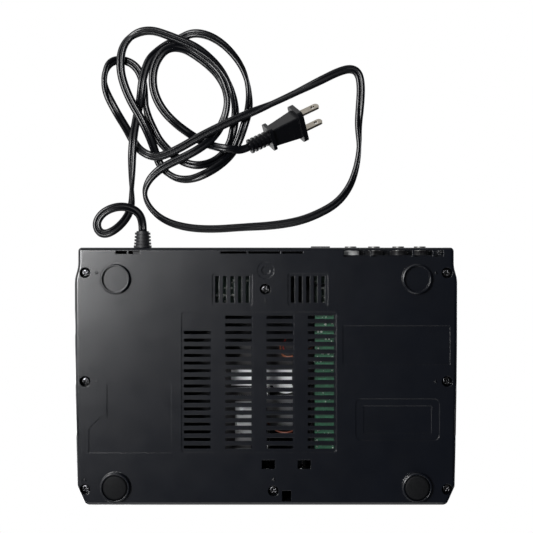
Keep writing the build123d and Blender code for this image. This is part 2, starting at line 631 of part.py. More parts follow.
DISPLAY_FACE = WINDOW_FLANGE_Y[1] + GAP + DISPLAY_MODULE[1]
DISPLAY_Y = (DISPLAY_FACE, DISPLAY_FACE + BOARD)

with BuildPart() as top_case:
    with BuildSketch(Plane.XY.offset(SPLIT_HEIGHT)):
        add(CASE_PLAN)
    extrude(amount=DECK_HEIGHT - SPLIT_HEIGHT)
    fillet(top_case.faces().sort_by(Axis.Z)[-1].edges(), radius=TOP_EDGE_RADIUS)
    with BuildSketch(Plane.XY.offset(SPLIT_HEIGHT)):
        add(CASE_HOLLOW)
        with Locations(*SCREWS):
            Circle(SCREW_POST_RADIUS, mode=Mode.SUBTRACT)
    extrude(amount=DECK_UNDER - SPLIT_HEIGHT, mode=Mode.SUBTRACT)
    # The front screw's post stops under the open button, on a web from the wall
    post = (SPLIT_HEIGHT, DECK_UNDER - SHORT_POST_DROP)
    round_z([FRONT_SCREW], SHORT_POST_RADIUS, post)
    web_x = (FRONT_SCREW[0] - POST_WEB / 2, FRONT_SCREW[0] + POST_WEB / 2)
    block(web_x, (INNER_FRONT, FRONT_SCREW[1]), post)
    # Posts for the chassis dampers, which the well cuts short, and for the button board
    round_z(DAMPERS, DAMPER_POST_RADIUS, (DAMPER_TOP, DECK_UNDER))
    round_z(BUTTON_POSTS, BUTTON_POST_RADIUS, (BUTTON_BOARD_TOP, DECK_UNDER))
    # Disc well and its keyhole opening
    with BuildSketch(Plane.XY.offset(WELL_UNDER)):
        with Locations((DISC_X, DISC_Y)):
            Circle(WELL_RADIUS + WALL)
    extrude(amount=DECK_UNDER - WELL_UNDER)
    with BuildSketch(Plane.XY.offset(WELL_FLOOR)):
        with Locations((DISC_X, DISC_Y)):
            Circle(WELL_RADIUS)
    extrude(amount=WELL_DEPTH, mode=Mode.SUBTRACT)
    with BuildSketch(Plane.XY.offset(WELL_UNDER)):
        with Locations((DISC_X, DISC_Y)):
            Circle(TURNTABLE_RADIUS + TURNTABLE_CLEARANCE)
        keyhole_end = LENS_END - LENS_POD[1] / 2 - 0.5
        with Locations((DISC_X, (DISC_Y + keyhole_end) / 2)):
            Rectangle(KEYHOLE_WIDTH, DISC_Y - keyhole_end)
    extrude(amount=FLOOR, mode=Mode.SUBTRACT)
    # Hinge slots with a cheek each side that carries the pin
    half = LUG_WIDTH / 2 + LUG_CLEARANCE
    slot_y = (HINGE_Y - HINGE_SLOT[0], HINGE_Y + HINGE_SLOT[1])
    cheek_z = (HINGE_Z - CHEEK_SIZE / 2 + 1, DECK_UNDER)
    for x in HINGE_XS:
        block((x - half, x + half), slot_y, (DECK_UNDER, DECK_HEIGHT), Mode.SUBTRACT)
        for near, far in ((-half - CHEEK, -half), (half, half + CHEEK)):
            block((x + near, x + far), (HINGE_Y - CHEEK_SIZE / 2, HINGE_Y + CHEEK_SIZE / 2), cheek_z)
        round_x((HINGE_Y, HINGE_Z), HINGE_PIN_RADIUS, (x - half - CHEEK, x + half + CHEEK), Mode.SUBTRACT)
    # Slot for the lid's hook and hole for the open button
    block(
        (HOOK_X[0] - 2 * GAP, HOOK_X[1] + 2 * GAP),
        (HOOK_Y[0] - 2 * HOOK_BARB, HOOK_Y[1] + 2 * GAP),
        (DECK_UNDER, DECK_HEIGHT), Mode.SUBTRACT,
    )
    with BuildSketch(Plane.XY.offset(DECK_UNDER)):
        with Locations(OPEN_CENTRE):
            SlotOverall(OPEN_BUTTON[0] + 2 * GAP, OPEN_BUTTON[1] + 2 * GAP)
    extrude(amount=WALL, mode=Mode.SUBTRACT)
    # Holes for the round buttons
    for dx, y, radius in BUTTONS.values():
        round_z([(PANEL_CENTRE + dx, y)], radius + GAP, (DECK_UNDER, DECK_HEIGHT), Mode.SUBTRACT)
    # Front window and the two ribs that hold the display board
    with BuildSketch(Plane.XZ.offset(-INNER_FRONT)):
        with Locations((WINDOW_X_CENTRE, WINDOW_Z)):
            RectangleRounded(WINDOW[0] + 2 * GAP, WINDOW[1] + 2 * GAP, WINDOW_CORNER)
    extrude(amount=WALL, mode=Mode.SUBTRACT)
    rib_z = (WINDOW_Z - DISPLAY_BOARD[1] / 2, DECK_UNDER)
    for x in (DISPLAY_X[0] - GAP - DISPLAY_RIB, DISPLAY_X[1] + GAP):
        block((x, x + DISPLAY_RIB), (WINDOW_FLANGE_Y[1] + GAP, DISPLAY_Y[1]), rib_z)
    # Bay of the round sockets: a window in the rear wall and a panel behind it
    bay_top = SOCKET_Z + 9.4
    block(BAY_X, (INNER_REAR - 1, REAR + 1), (SPLIT_HEIGHT, bay_top), Mode.SUBTRACT)
    block((BAY_X[0] - WALL, BAY_X[1] + WALL), BAY_WALL, (SOCKET_Z - 9.3, bay_top + WALL))
    block((BAY_X[0] - WALL, BAY_X[1] + WALL), (BAY_WALL[0], INNER_REAR), (bay_top, bay_top + WALL))
    for x in (BAY_X[0] - WALL, BAY_X[1]):
        block((x, x + WALL), (BAY_WALL[0], INNER_REAR), (SPLIT_HEIGHT, bay_top + WALL))
    for x in SOCKET_XS:
        round_y((x, SOCKET_Z), BARREL_RADIUS + GAP, BAY_WALL, Mode.SUBTRACT)
    # Window of the square socket and the tongue that closes the cord's notch
    block(
        (DIGITAL_X[0] - GAP, DIGITAL_X[1] + GAP), (INNER_REAR - 1, REAR + 1),
        (SPLIT_HEIGHT, DIGITAL_Z[1] + GAP), Mode.SUBTRACT,
    )
    tongue = NOTCH_RADIUS - GAP
    tongue_z = (RELIEF_Z + NOTCH_RADIUS + GAP, SPLIT_HEIGHT)
    block((RELIEF_X - tongue, RELIEF_X + tongue), (INNER_REAR, REAR), tongue_z)
save(top_case, "top_case")


# Lid
def lid_plan(inset):
    """Plan of the lid: round at the front and square at the hinge."""
    radius = LID_RADIUS - inset
    rear = LID_REAR - inset
    with BuildSketch() as plan:
        with BuildLine():
            ThreePointArc(
                (DISC_X - radius, DISC_Y), (DISC_X, DISC_Y - radius), (DISC_X + radius, DISC_Y)
            )
            Polyline(
                (DISC_X + radius, DISC_Y), (DISC_X + radius, rear),
                (DISC_X - radius, rear), (DISC_X - radius, DISC_Y),
            )
        make_face()
        fillet(plan.vertices().group_by(Axis.Y)[-1], radius=LID_CORNER - inset)
    return plan.sketch


def lug_plan():
    """Side view of a hinge lug, as (y, z), from the lid's rear wall to its eye."""
    with BuildSketch() as plan:
        with BuildLine():
            Polyline(
                (LID_REAR - 1.5, LID_UNDER), (LID_REAR - 1.5, LID_UNDER + 3.7),
                (LID_REAR, LID_UNDER + 3.7), (HINGE_Y - 3, LID_UNDER + 2.2),
                (HINGE_Y + LUG_EYE_RADIUS, HINGE_Z), (HINGE_Y - LUG_EYE_RADIUS, HINGE_Z),
                (HINGE_Y - LUG_EYE_RADIUS, LID_UNDER), close=True,
            )
        make_face()
        with Locations((HINGE_Y, HINGE_Z)):
            Circle(LUG_EYE_RADIUS)
            Circle(HINGE_PIN_RADIUS + 2 * SHAFT_GAP, mode=Mode.SUBTRACT)
    return plan.sketch


LID_OUTER = lid_plan(0)
LID_INNER = lid_plan(LID_WALL)
LUG = lug_plan()
BRIDGE_UNDER = LID_UNDER + 0.5

with BuildPart() as lid:
    with BuildSketch(Plane.XY.offset(LID_UNDER)):
        add(LID_OUTER)
    extrude(amount=LID_HEIGHT)
    fillet(lid.faces().sort_by(Axis.Z)[-1].edges(), radius=LID_EDGE_RADIUS)
    with BuildSketch(Plane.XY.offset(LID_UNDER)):
        add(LID_INNER)
    extrude(amount=LID_CEILING - LID_UNDER, mode=Mode.SUBTRACT)
    # A round groove over the disc
    with BuildSketch(Plane.XY.offset(LID_TOP)):
        with Locations((DISC_X, DISC_Y)):
            Circle(LID_GROOVE[1])
            Circle(LID_GROOVE[0], mode=Mode.SUBTRACT)
    extrude(amount=-LID_GROOVE[2], mode=Mode.SUBTRACT)
    # Hinge lugs
    for x in HINGE_XS:
        with BuildSketch(Plane.YZ.offset(x - LUG_WIDTH / 2)):
            add(LUG)
        extrude(amount=LUG_WIDTH)
    # Hook with its barb facing the open button
    hook_foot = LID_UNDER - HOOK_DEPTH
    block(HOOK_X, HOOK_Y, (hook_foot, LID_UNDER + 2))
    block(HOOK_X, (HOOK_Y[0] - HOOK_BARB, HOOK_Y[0]), (hook_foot, hook_foot + HOOK_THICKNESS))
save(lid, "lid")

with BuildPart() as hinge_pins:
    for x in HINGE_XS:
        half = LUG_WIDTH / 2 + 0.4 + CHEEK
        round_x((HINGE_Y, HINGE_Z), HINGE_PIN_RADIUS, (x - half, x + half))
save(hinge_pins, "hinge_pins")

with BuildPart() as clamp_bridge:
    with BuildSketch(Plane.XY.offset(BRIDGE_UNDER)):
        with Locations((DISC_X, DISC_Y)):
            Circle(BRIDGE_RADIUS)
            Circle(CLAMPER_NECK + 1, mode=Mode.SUBTRACT)
    extrude(amount=BRIDGE)
    with BuildSketch(Plane.XY.offset(BRIDGE_UNDER + BRIDGE)):
        with Locations((DISC_X, DISC_Y)):
            with PolarLocations(BRIDGE_RADIUS - BRIDGE_PAD_RADIUS - 0.2, BRIDGE_PADS):
                Circle(BRIDGE_PAD_RADIUS)
    extrude(amount=LID_CEILING - BRIDGE_UNDER - BRIDGE)
save(clamp_bridge, "clamp_bridge")

# The clamper hangs on the bridge by its cap, over the hub that its recess clears
CLAMPER_UNDER = TURNTABLE_TOP + 1.5
RECESS_TOP = TURNTABLE_TOP + HUB_HEIGHT + 2 * GAP
CAP_UNDER = BRIDGE_UNDER + BRIDGE + GAP
CAP_TOP = CAP_UNDER + CLAMPER_CAP[1]
with BuildPart() as clamper:
    with BuildSketch(Plane.XZ) as clamper_profile:
        with BuildLine():
            Polyline(
                (HUB_RADIUS + 0.8, CLAMPER_UNDER), (CLAMPER_RADIUS, CLAMPER_UNDER),
                (CLAMPER_RADIUS, CLAMPER_UNDER + CLAMPER_RIM),
                (CLAMPER_NECK, CLAMPER_UNDER + CLAMPER_RIM + 1),
                (CLAMPER_NECK, CAP_UNDER), (CLAMPER_CAP[0], CAP_UNDER),
                (CLAMPER_CAP[0], CAP_TOP), (0, CAP_TOP), (0, RECESS_TOP),
                (HUB_RADIUS + 0.8, RECESS_TOP), close=True,
            )
        make_face()
    revolve(axis=Axis.Z)
clamper.part = clamper.part.moved(Location((DISC_X, DISC_Y, 0)))
save(clamper, "clamper")

# Open button and the slider that it pushes
FLANGE_TOP = DECK_UNDER - GAP
with BuildPart() as open_button:
    with BuildSketch(Plane.XY.offset(FLANGE_TOP - LIP_THICKNESS)):
        with Locations(OPEN_CENTRE):
            SlotOverall(OPEN_BUTTON[0] + 2 * BUTTON_LIP, OPEN_BUTTON[1] + 2 * BUTTON_LIP)
    extrude(amount=LIP_THICKNESS)
    with BuildSketch(Plane.XY.offset(FLANGE_TOP)):
        with Locations(OPEN_CENTRE):
            SlotOverall(*OPEN_BUTTON)
    extrude(amount=DECK_HEIGHT + OPEN_RISE - FLANGE_TOP)
    chamfer(open_button.faces().sort_by(Axis.Z)[-1].edges(), length=BUTTON_CHAMFER)
save(open_button, "open_button")

SLIDER_TOP = FLANGE_TOP - LIP_THICKNESS - OPEN_TRAVEL - GAP
SLIDER_UNDER = SLIDER_TOP - SLIDER[2]
SLIDER_X = (OPEN_CENTRE[0] - 14, OPEN_CENTRE[0] - 14 + SLIDER[0])
SLIDER_Y = (OPEN_CENTRE[1] - 2.2, OPEN_CENTRE[1] - 2.2 + SLIDER[1])
with BuildPart() as latch_slider:
    block(SLIDER_X, SLIDER_Y, (SLIDER_UNDER, SLIDER_TOP))
    # A ramp under the button, and the nose that reaches toward the hook
    with BuildSketch(Plane.YZ.offset(SLIDER_X[1] - RAMP_WIDTH - 2)):
        with BuildLine():
            Polyline(
                (SLIDER_Y[0], SLIDER_TOP), (SLIDER_Y[1] - 2.2, SLIDER_TOP),
                (SLIDER_Y[0], SLIDER_TOP + GAP - SHAFT_GAP), close=True,
            )
        make_face()
    extrude(amount=RAMP_WIDTH)
    block(HOOK_X, (SLIDER_Y[1], HOOK_Y[0] - HOOK_BARB - GAP), (SLIDER_TOP - NOSE_THICKNESS, SLIDER_TOP))
save(latch_slider, "latch_slider")

# Shelf on the front wall that the slider runs over
with BuildPart() as latch_bracket:
    shelf_top = SLIDER_UNDER - GAP
    block(SLIDER_X, (INNER_FRONT, SLIDER_Y[1] - 1.2), (shelf_top - SHELF, shelf_top))
save(latch_bracket, "latch_bracket")

# Control panel, its buttons and the board under them
with BuildPart() as control_panel:
    with BuildSketch(Plane.XY.offset(DECK_HEIGHT)):
        with Locations((PANEL_CENTRE, (PANEL_Y[0] + PANEL_Y[1]) / 2)):
            RectangleRounded(PANEL_WIDTH, PANEL_Y[1] - PANEL_Y[0], 8)
        for dx, y, radius in BUTTONS.values():
            with Locations((PANEL_CENTRE + dx, y)):
                Circle(radius + GAP, mode=Mode.SUBTRACT)
    extrude(amount=PANEL_THICKNESS)
save(control_panel, "control_panel")

SWITCH_TOP = BUTTON_BOARD_TOP + SWITCH[1]
PLUNGER_TOP = SWITCH_TOP + PLUNGER[1]
for name, (dx, y, radius) in BUTTONS.items():
    with BuildPart() as button:
        spot = (PANEL_CENTRE + dx, y)
        lip_under = FLANGE_TOP - LIP_THICKNESS
        round_z([spot], radius, (FLANGE_TOP, DECK_HEIGHT + PANEL_THICKNESS + BUTTON_RISE))
        chamfer(button.faces().sort_by(Axis.Z)[-1].edges(), length=BUTTON_CHAMFER)
        round_z([spot], radius + BUTTON_LIP, (lip_under, FLANGE_TOP))
        stand(spot, BUTTON_STEM, (PLUNGER_TOP + BUTTON_TRAVEL + 2 * SHAFT_GAP, lip_under))
    save(button, name)

with BuildPart() as button_board:
    block(BUTTON_BOARD_X, BUTTON_BOARD_Y, (BUTTON_BOARD_TOP - BOARD, BUTTON_BOARD_TOP))
save(button_board, "button_board")

with BuildPart() as tact_switches:
    for dx, y, radius in BUTTONS.values():
        spot = (PANEL_CENTRE + dx, y)
        stand(spot, (SWITCH[0], SWITCH[0]), (BUTTON_BOARD_TOP, SWITCH_TOP))
        stand(spot, (PLUNGER[0], PLUNGER[0]), (SWITCH_TOP, PLUNGER_TOP))
save(tact_switches, "tact_switches")

# Front window and display
with BuildPart() as front_window:
    with BuildSketch(Plane.XZ.offset(-INNER_FRONT)):
        with Locations((WINDOW_X_CENTRE, WINDOW_Z)):
            RectangleRounded(*WINDOW, WINDOW_CORNER - GAP)
    extrude(amount=WALL + WINDOW_PROUD)
    chamfer(front_window.faces().sort_by(Axis.Y)[0].edges(), length=0.5)
    with BuildSketch(Plane.XZ.offset(-INNER_FRONT)):
        with Locations((WINDOW_X_CENTRE, WINDOW_Z)):
            RectangleRounded(WINDOW[0] + 2 * WINDOW_LIP, WINDOW[1] + 2 * WINDOW_LIP, WINDOW_CORNER)
    extrude(amount=-WINDOW_FLANGE)
save(front_window, "front_window")

with BuildPart() as display_board:
    with Locations((WINDOW_X_CENTRE, DISPLAY_Y[0] + BOARD / 2, WINDOW_Z)):
        Box(DISPLAY_BOARD[0], BOARD, DISPLAY_BOARD[1])
save(display_board, "display_board")

with BuildPart() as display_module:
    y = DISPLAY_Y[0] - DISPLAY_MODULE[1] / 2
    with Locations((WINDOW_X_CENTRE + DISPLAY_MODULE_SHIFT, y, WINDOW_Z)):
        Box(*DISPLAY_MODULE)
save(display_module, "display_module")

with BuildPart() as ir_receiver:
    x = WINDOW_X_CENTRE + RECEIVER_SHIFT
    with Locations((x, DISPLAY_Y[0] - RECEIVER[1] / 2, WINDOW_Z)):
        Box(*RECEIVER)
    round_y((x, WINDOW_Z), RECEIVER_DOME_RADIUS, (DISPLAY_Y[0] - RECEIVER[1] - 1, DISPLAY_Y[0]))
save(ir_receiver, "ir_receiver")

# Main board and what stands on it
with BuildPart() as main_board:
    block(MAIN_BOARD_X, (MAIN_BOARD_FRONT, BOARD_REAR), (BOARD_UNDER, BOARD_TOP))
    width, start, end = MAIN_BOARD_NOTCH
    block(
        (MAIN_BOARD_END - width, MAIN_BOARD_END), (start, BOARD_REAR - end),
        (BOARD_UNDER, BOARD_TOP), Mode.SUBTRACT,
    )
save(main_board, "main_board")

with BuildPart() as main_chips:
    for (x, y), size, height in CHIPS:
        stand((MAIN_BOARD_X[0] + x, y), size, (BOARD_TOP, BOARD_TOP + height))
save(main_chips, "main_chips")

with BuildPart() as main_capacitors:
    for spots, (radius, height) in (
        (TALL_CAPACITORS, TALL_CAPACITOR), (LOW_CAPACITORS, LOW_CAPACITOR),
    ):
        centres = [(MAIN_BOARD_X[0] + x, y) for x, y in spots]
        round_z(centres, radius, (BOARD_TOP, BOARD_TOP + height))
save(main_capacitors, "main_capacitors")

with BuildPart() as main_connectors:
    for (x, y), size, height in CONNECTORS:
        stand((MAIN_BOARD_X[0] + x, y), size, (BOARD_TOP, BOARD_TOP + height))
save(main_connectors, "main_connectors")

# Sockets at the rear edge
BODY_REAR = BAY_WALL[0]
COLLAR_Y = (BAY_WALL[1], BAY_WALL[1] + COLLAR_LENGTH)
with BuildPart() as socket_body:
    low = SOCKET_XS[0] - 8
    high = SOCKET_XS[-1] + 8
    block((low, high), (BODY_REAR - 14, BODY_REAR), (BOARD_TOP, SOCKET_Z + 7))
    for x in SOCKET_XS:
        round_y((x, SOCKET_Z), SOCKET_HOLE, (BODY_REAR - 10, BODY_REAR), Mode.SUBTRACT)
save(socket_body, "socket_body")

with BuildPart() as socket_barrels:
    for x in SOCKET_XS:
        round_y((x, SOCKET_Z), BARREL_SEAT, (BODY_REAR, COLLAR_Y[1]))
        round_y((x, SOCKET_Z), BARREL_RADIUS, (COLLAR_Y[1], REAR + 1))
        round_y((x, SOCKET_Z), SOCKET_HOLE, (BODY_REAR, REAR + 1), Mode.SUBTRACT)
save(socket_barrels, "socket_barrels")

with BuildPart() as socket_collars:
    for x in SOCKET_XS:
        round_y((x, SOCKET_Z), COLLAR_RADIUS, COLLAR_Y)
        round_y((x, SOCKET_Z), BARREL_SEAT + SHAFT_GAP, COLLAR_Y, Mode.SUBTRACT)
save(socket_collars, "socket_collars")

with BuildPart() as digital_socket:
    block(DIGITAL_X, (REAR - 15, REAR + 1), DIGITAL_Z)
    inner_x = (DIGITAL_X[0] + 1.9, DIGITAL_X[1] - 1.9)
    inner_z = (DIGITAL_Z[0] + 1.9, DIGITAL_Z[1] - 1.9)
    block(inner_x, (REAR - 9, REAR + 1), inner_z, Mode.SUBTRACT)
    block(DIGITAL_X, (REAR - 15, REAR - 11), (BOARD_TOP, DIGITAL_Z[0]))
save(digital_socket, "digital_socket")

# Power supply
with BuildPart() as power_board:
    block(POWER_BOARD_X, (BOARD_REAR - POWER_BOARD_DEPTH, BOARD_REAR), (BOARD_UNDER, BOARD_TOP))
save(power_board, "power_board")

with BuildPart() as transformer:
    x = POWER_BOARD_START + TRANSFORMER_X
    width, depth, height = TRANSFORMER_CORE
    stand((x, POWER_Y), (width, depth), (BOARD_TOP, BOARD_TOP + height))
    width, depth, low, high = TRANSFORMER_COIL
    stand((x, POWER_Y), (width, depth), (BOARD_TOP + low, BOARD_TOP + high))
save(transformer, "transformer")

with BuildPart() as bulk_capacitor:
    radius, height = BULK_CAPACITOR
    round_z([(POWER_BOARD_START + BULK_CAPACITOR_X, POWER_Y)], radius, (BOARD_TOP, BOARD_TOP + height))
    chamfer(bulk_capacitor.faces().sort_by(Axis.Z)[-1].edges(), length=0.8)
save(bulk_capacitor, "bulk_capacitor")

with BuildPart() as heat_sink:
    length, thickness, height = HEAT_SINK
    start = POWER_BOARD_START + HEAT_SINK_X
    stand((start + length / 2, POWER_Y), (length, thickness), (BOARD_TOP, BOARD_TOP + height))
    pitch = (length - HEAT_SINK_FIN[0]) / (HEAT_SINK_FINS - 1)
    for fin in range(HEAT_SINK_FINS):
        x = start + HEAT_SINK_FIN[0] / 2 + fin * pitch
        stand((x, POWER_Y), HEAT_SINK_FIN, (BOARD_TOP, BOARD_TOP + height))
save(heat_sink, "heat_sink")

# Mains outlet block, fuse in its two clips, and the output capacitors
with BuildPart() as power_parts:
    x, width, depth, height = OUTLET
    stand(
        (POWER_BOARD_START + x, BOARD_REAR - 0.5 - depth / 2), (width, depth),
        (BOARD_TOP, BOARD_TOP + height),
    )
    radius, length, height = FUSE
    x = POWER_BOARD_START + FUSE_X
    y = BOARD_REAR - POWER_BOARD_DEPTH + 0.6 + FUSE_CLIP[1] / 2
    round_x((y, BOARD_TOP + height), radius, (x - length / 2, x + length / 2))
    for side in (-1, 1):
        stand((x + side * FUSE_CLIP_SPREAD / 2, y), FUSE_CLIP, (BOARD_TOP, BOARD_TOP + height))
    radius, height = OUTPUT_CAPACITOR
    spots = [(POWER_BOARD_START + x, POWER_Y + dy) for x, dy in OUTPUT_CAPACITORS]
    round_z(spots, radius, (BOARD_TOP, BOARD_TOP + height))
save(power_parts, "power_parts")

# Traverse chassis, hung on four rubber dampers
GEAR_RADIUS = GEAR_MODULE * GEAR_TEETH / 2
PINION_RADIUS = GEAR_MODULE * PINION_TEETH / 2
GEAR_CENTRE = (RACK_X + GEAR_RADIUS, DISC_Y - GEAR_SETBACK)
PINION_CENTRE = (GEAR_CENTRE[0], GEAR_CENTRE[1] - GEAR_RADIUS - PINION_RADIUS)
GEAR_Z = (CHASSIS_UNDER + 2.0, CHASSIS_UNDER + 2.0 + GEAR_WIDTH)
ROD_Z = CHASSIS_UNDER + 4.5
RODS = [(DISC_X - ROD_SPREAD, ROD_Z), (DISC_X + ROD_SPREAD, ROD_Z)]
ROD_Y = (WINDOW_Y[0] - 3.0, WINDOW_Y[1] + 3.0)
EAR_SIZE = 2 * DAMPER_INSET
RACK_PITCH = math.pi * GEAR_MODULE
RACK_END = GEAR_CENTRE[1] + LENS_TRAVEL + 2 * RACK_PITCH
RACK_START = GEAR_CENTRE[1] - 2 * RACK_PITCH

with BuildPart() as mech_chassis:
    with BuildSketch(Plane.XY.offset(CHASSIS_UNDER)):
        with Locations(((CHASSIS_X[0] + CHASSIS_X[1]) / 2, (CHASSIS_Y[0] + CHASSIS_Y[1]) / 2)):
            RectangleRounded(CHASSIS_X[1] - CHASSIS_X[0], CHASSIS_Y[1] - CHASSIS_Y[0], 6)
        with Locations(((WINDOW_X[0] + WINDOW_X[1]) / 2, (WINDOW_Y[0] + WINDOW_Y[1]) / 2)):
            RectangleRounded(WINDOW_X[1] - WINDOW_X[0], WINDOW_Y[1] - WINDOW_Y[0], 2, mode=Mode.SUBTRACT)
    extrude(amount=CHASSIS_HEIGHT)
    # The corners step down to ears that hold the dampers
    for x, y in DAMPERS:
        half = EAR_SIZE / 2 + 0.5
        ear_top = CHASSIS_UNDER + EAR_THICKNESS
        block((x - half, x + half), (y - half, y + half), (ear_top, CHASSIS_TOP), Mode.SUBTRACT)
    round_z(DAMPERS, DAMPER_NECK, (CHASSIS_UNDER, ear_top), Mode.SUBTRACT)
    # Weight is saved by pockets between ribs, open from below
    width, front, rear = CHASSIS_POCKET
    for x in CHASSIS_POCKETS:
        block((x, x + width), (front, rear), (CHASSIS_UNDER, CHASSIS_TOP - 2), Mode.SUBTRACT)
    # Pocket of the drive gear and the motor pinion
    gear_reach = GEAR_RADIUS + GEAR_CLEARANCE
    gear_pocket = (WINDOW_X[1] - 1, GEAR_CENTRE[0] + gear_reach)
    pocket_y = (PINION_CENTRE[1] - PINION_RADIUS - GEAR_CLEARANCE, GEAR_CENTRE[1] + gear_reach)
    block(gear_pocket, pocket_y, (CHASSIS_UNDER + 1, CHASSIS_TOP), Mode.SUBTRACT)
    shaft_hole = 2 * PINION_SHAFT_RADIUS
    round_z([PINION_CENTRE], shaft_hole, (CHASSIS_UNDER, CHASSIS_UNDER + 1), Mode.SUBTRACT)
    round_z([GEAR_CENTRE], GEAR_SHAFT_RADIUS, (CHASSIS_UNDER, CHASSIS_TOP - 1))
    # Slot for the end of the rack and bores for the ends of the guide rods
    block(
        (DISC_X + ROD_SPREAD + ROD_RADIUS + 0.6, RACK_X + 1.2), (WINDOW_Y[1], RACK_END + 0.5),
        (GEAR_Z[0] - GAP, CHASSIS_TOP), Mode.SUBTRACT,
    )
    for centre in RODS:
        round_y(centre, ROD_RADIUS, ROD_Y, Mode.SUBTRACT)
save(mech_chassis, "mech_chassis")

with BuildPart() as chassis_dampers:
    round_z(DAMPERS, DAMPER_RADIUS, (CHASSIS_UNDER - DAMPER_FLANGE, CHASSIS_UNDER))
    round_z(DAMPERS, DAMPER_NECK, (CHASSIS_UNDER, CHASSIS_UNDER + EAR_THICKNESS))
    round_z(DAMPERS, DAMPER_RADIUS, (CHASSIS_UNDER + EAR_THICKNESS, DAMPER_TOP))
save(chassis_dampers, "chassis_dampers")

PLATE_Z = (CHASSIS_UNDER - MOTOR_PLATE, CHASSIS_UNDER)
with BuildPart() as motor_plate:
    with BuildSketch(Plane.XY.offset(PLATE_Z[0])):
        with BuildLine():
            front, step, rear = [DISC_Y + y for y in PLATE_Y]
            Polyline(
                (PLATE_STEP_X[0], front), (PLATE_STEP_X[1], step), (PLATE_STEP_X[1], rear),
                (PLATE_END_X, rear), (PLATE_END_X, front), close=True,
            )
        make_face()
    extrude(amount=MOTOR_PLATE)
save(motor_plate, "motor_plate")

with BuildPart() as spindle_motor:
    round_z([(DISC_X, DISC_Y)], SPINDLE_MOTOR_RADIUS, (CHASSIS_UNDER, CHASSIS_TOP + 0.5))
    round_z([(DISC_X, DISC_Y)], 3.5, (CHASSIS_TOP + 0.5, CHASSIS_TOP + 2))
    bore = SPINDLE_RADIUS + SHAFT_GAP
    round_z([(DISC_X, DISC_Y)], bore, (CHASSIS_UNDER + 2, CHASSIS_TOP + 2), Mode.SUBTRACT)
save(spindle_motor, "spindle_motor")

TABLE_UNDER = TURNTABLE_TOP - TURNTABLE_THICKNESS
with BuildPart() as turntable:
    round_z([(DISC_X, DISC_Y)], TURNTABLE_RADIUS, (TABLE_UNDER, TURNTABLE_TOP))
    round_z([(DISC_X, DISC_Y)], HUB_RADIUS, (TURNTABLE_TOP, TURNTABLE_TOP + HUB_HEIGHT))
    chamfer(turntable.faces().sort_by(Axis.Z)[-1].edges(), length=0.5)
    round_z([(DISC_X, DISC_Y)], SPINDLE_RADIUS, (CHASSIS_UNDER + 2.2, TABLE_UNDER))
save(turntable, "turntable")

with BuildPart() as guide_rods:
    for centre in RODS:
        round_y(centre, ROD_RADIUS, ROD_Y)
save(guide_rods, "guide_rods")

LENS_Y = DISC_Y - LENS_REST
SLED_Y = (LENS_Y - SLED_LENGTH / 2, LENS_Y + SLED_LENGTH / 2)
SLED_X = (DISC_X - SLED_HALF_WIDTH, DISC_X + SLED_HALF_WIDTH)
SLED_Z = (CHASSIS_UNDER + 1.5, CHASSIS_UNDER + 7.5)
RACK_ROOT = RACK_X - GEAR_MODULE * 1.25
RACK_TIP = RACK_X + GEAR_MODULE * 0.85
POD_TOP = WELL_FLOOR + 0.8

with BuildPart() as sled:
    block(SLED_X, SLED_Y, SLED_Z)
    stand((DISC_X, LENS_Y), LENS_POD, (SLED_Z[1], POD_TOP))
    # Rack along the side, long enough for the whole travel
    block((SLED_X[1] - 0.5, RACK_ROOT), (SLED_Y[0], RACK_END), GEAR_Z)
    teeth = int((RACK_END - RACK_START) / RACK_PITCH)
    with BuildSketch(Plane.XY.offset(GEAR_Z[0])):
        for tooth in range(teeth):
            y = GEAR_CENTRE[1] + (tooth - 1.5) * RACK_PITCH
            base = RACK_PITCH * 0.30
            tip = RACK_PITCH * 0.12
            Polygon(
                (RACK_ROOT - 0.2, y - base), (RACK_TIP, y - tip), (RACK_TIP, y + tip),
                (RACK_ROOT - 0.2, y + base), align=None,
            )
    extrude(amount=GEAR_WIDTH)
    for centre in RODS:
        round_y(centre, ROD_RADIUS + SHAFT_GAP, SLED_Y, Mode.SUBTRACT)
save(sled, "sled")

with BuildPart() as lens:
    width, depth, height = LENS_HOLDER
    holder_under = POD_TOP + LENS_FOCUS
    stand((DISC_X, LENS_Y), (width, depth), (holder_under, holder_under + height))
    round_z([(DISC_X, LENS_Y)], LENS_RADIUS, (holder_under + height, holder_under + height + 0.4))
save(lens, "lens")


def gear_plan(teeth, bore, phase):
    """Flat outline of a gear with straight-sided teeth, one of them at the angle phase."""
    pitch_radius = GEAR_MODULE * teeth / 2
    root = pitch_radius - GEAR_MODULE * 1.25
    tip = pitch_radius + GEAR_MODULE * 0.85
    base_half = RACK_PITCH * 0.28
    tip_half = RACK_PITCH * 0.10
    with BuildSketch() as plan:
        Circle(root)
        with PolarLocations(0, teeth, start_angle=phase):
            Polygon(
                (root - 0.4, -base_half), (tip, -tip_half), (tip, tip_half), (root - 0.4, base_half),
                align=None,
            )
        if bore:
            Circle(bore, mode=Mode.SUBTRACT)
    return plan.sketch


GEAR_PLAN = gear_plan(GEAR_TEETH, GEAR_SHAFT_RADIUS + SHAFT_GAP, 180)
PINION_PLAN = gear_plan(PINION_TEETH, 0, 180 / PINION_TEETH)
with BuildPart() as drive_gear:
    with BuildSketch(Plane.XY.offset(GEAR_Z[0])):
        with Locations(GEAR_CENTRE):
            add(GEAR_PLAN)
    extrude(amount=GEAR_WIDTH)
save(drive_gear, "drive_gear")

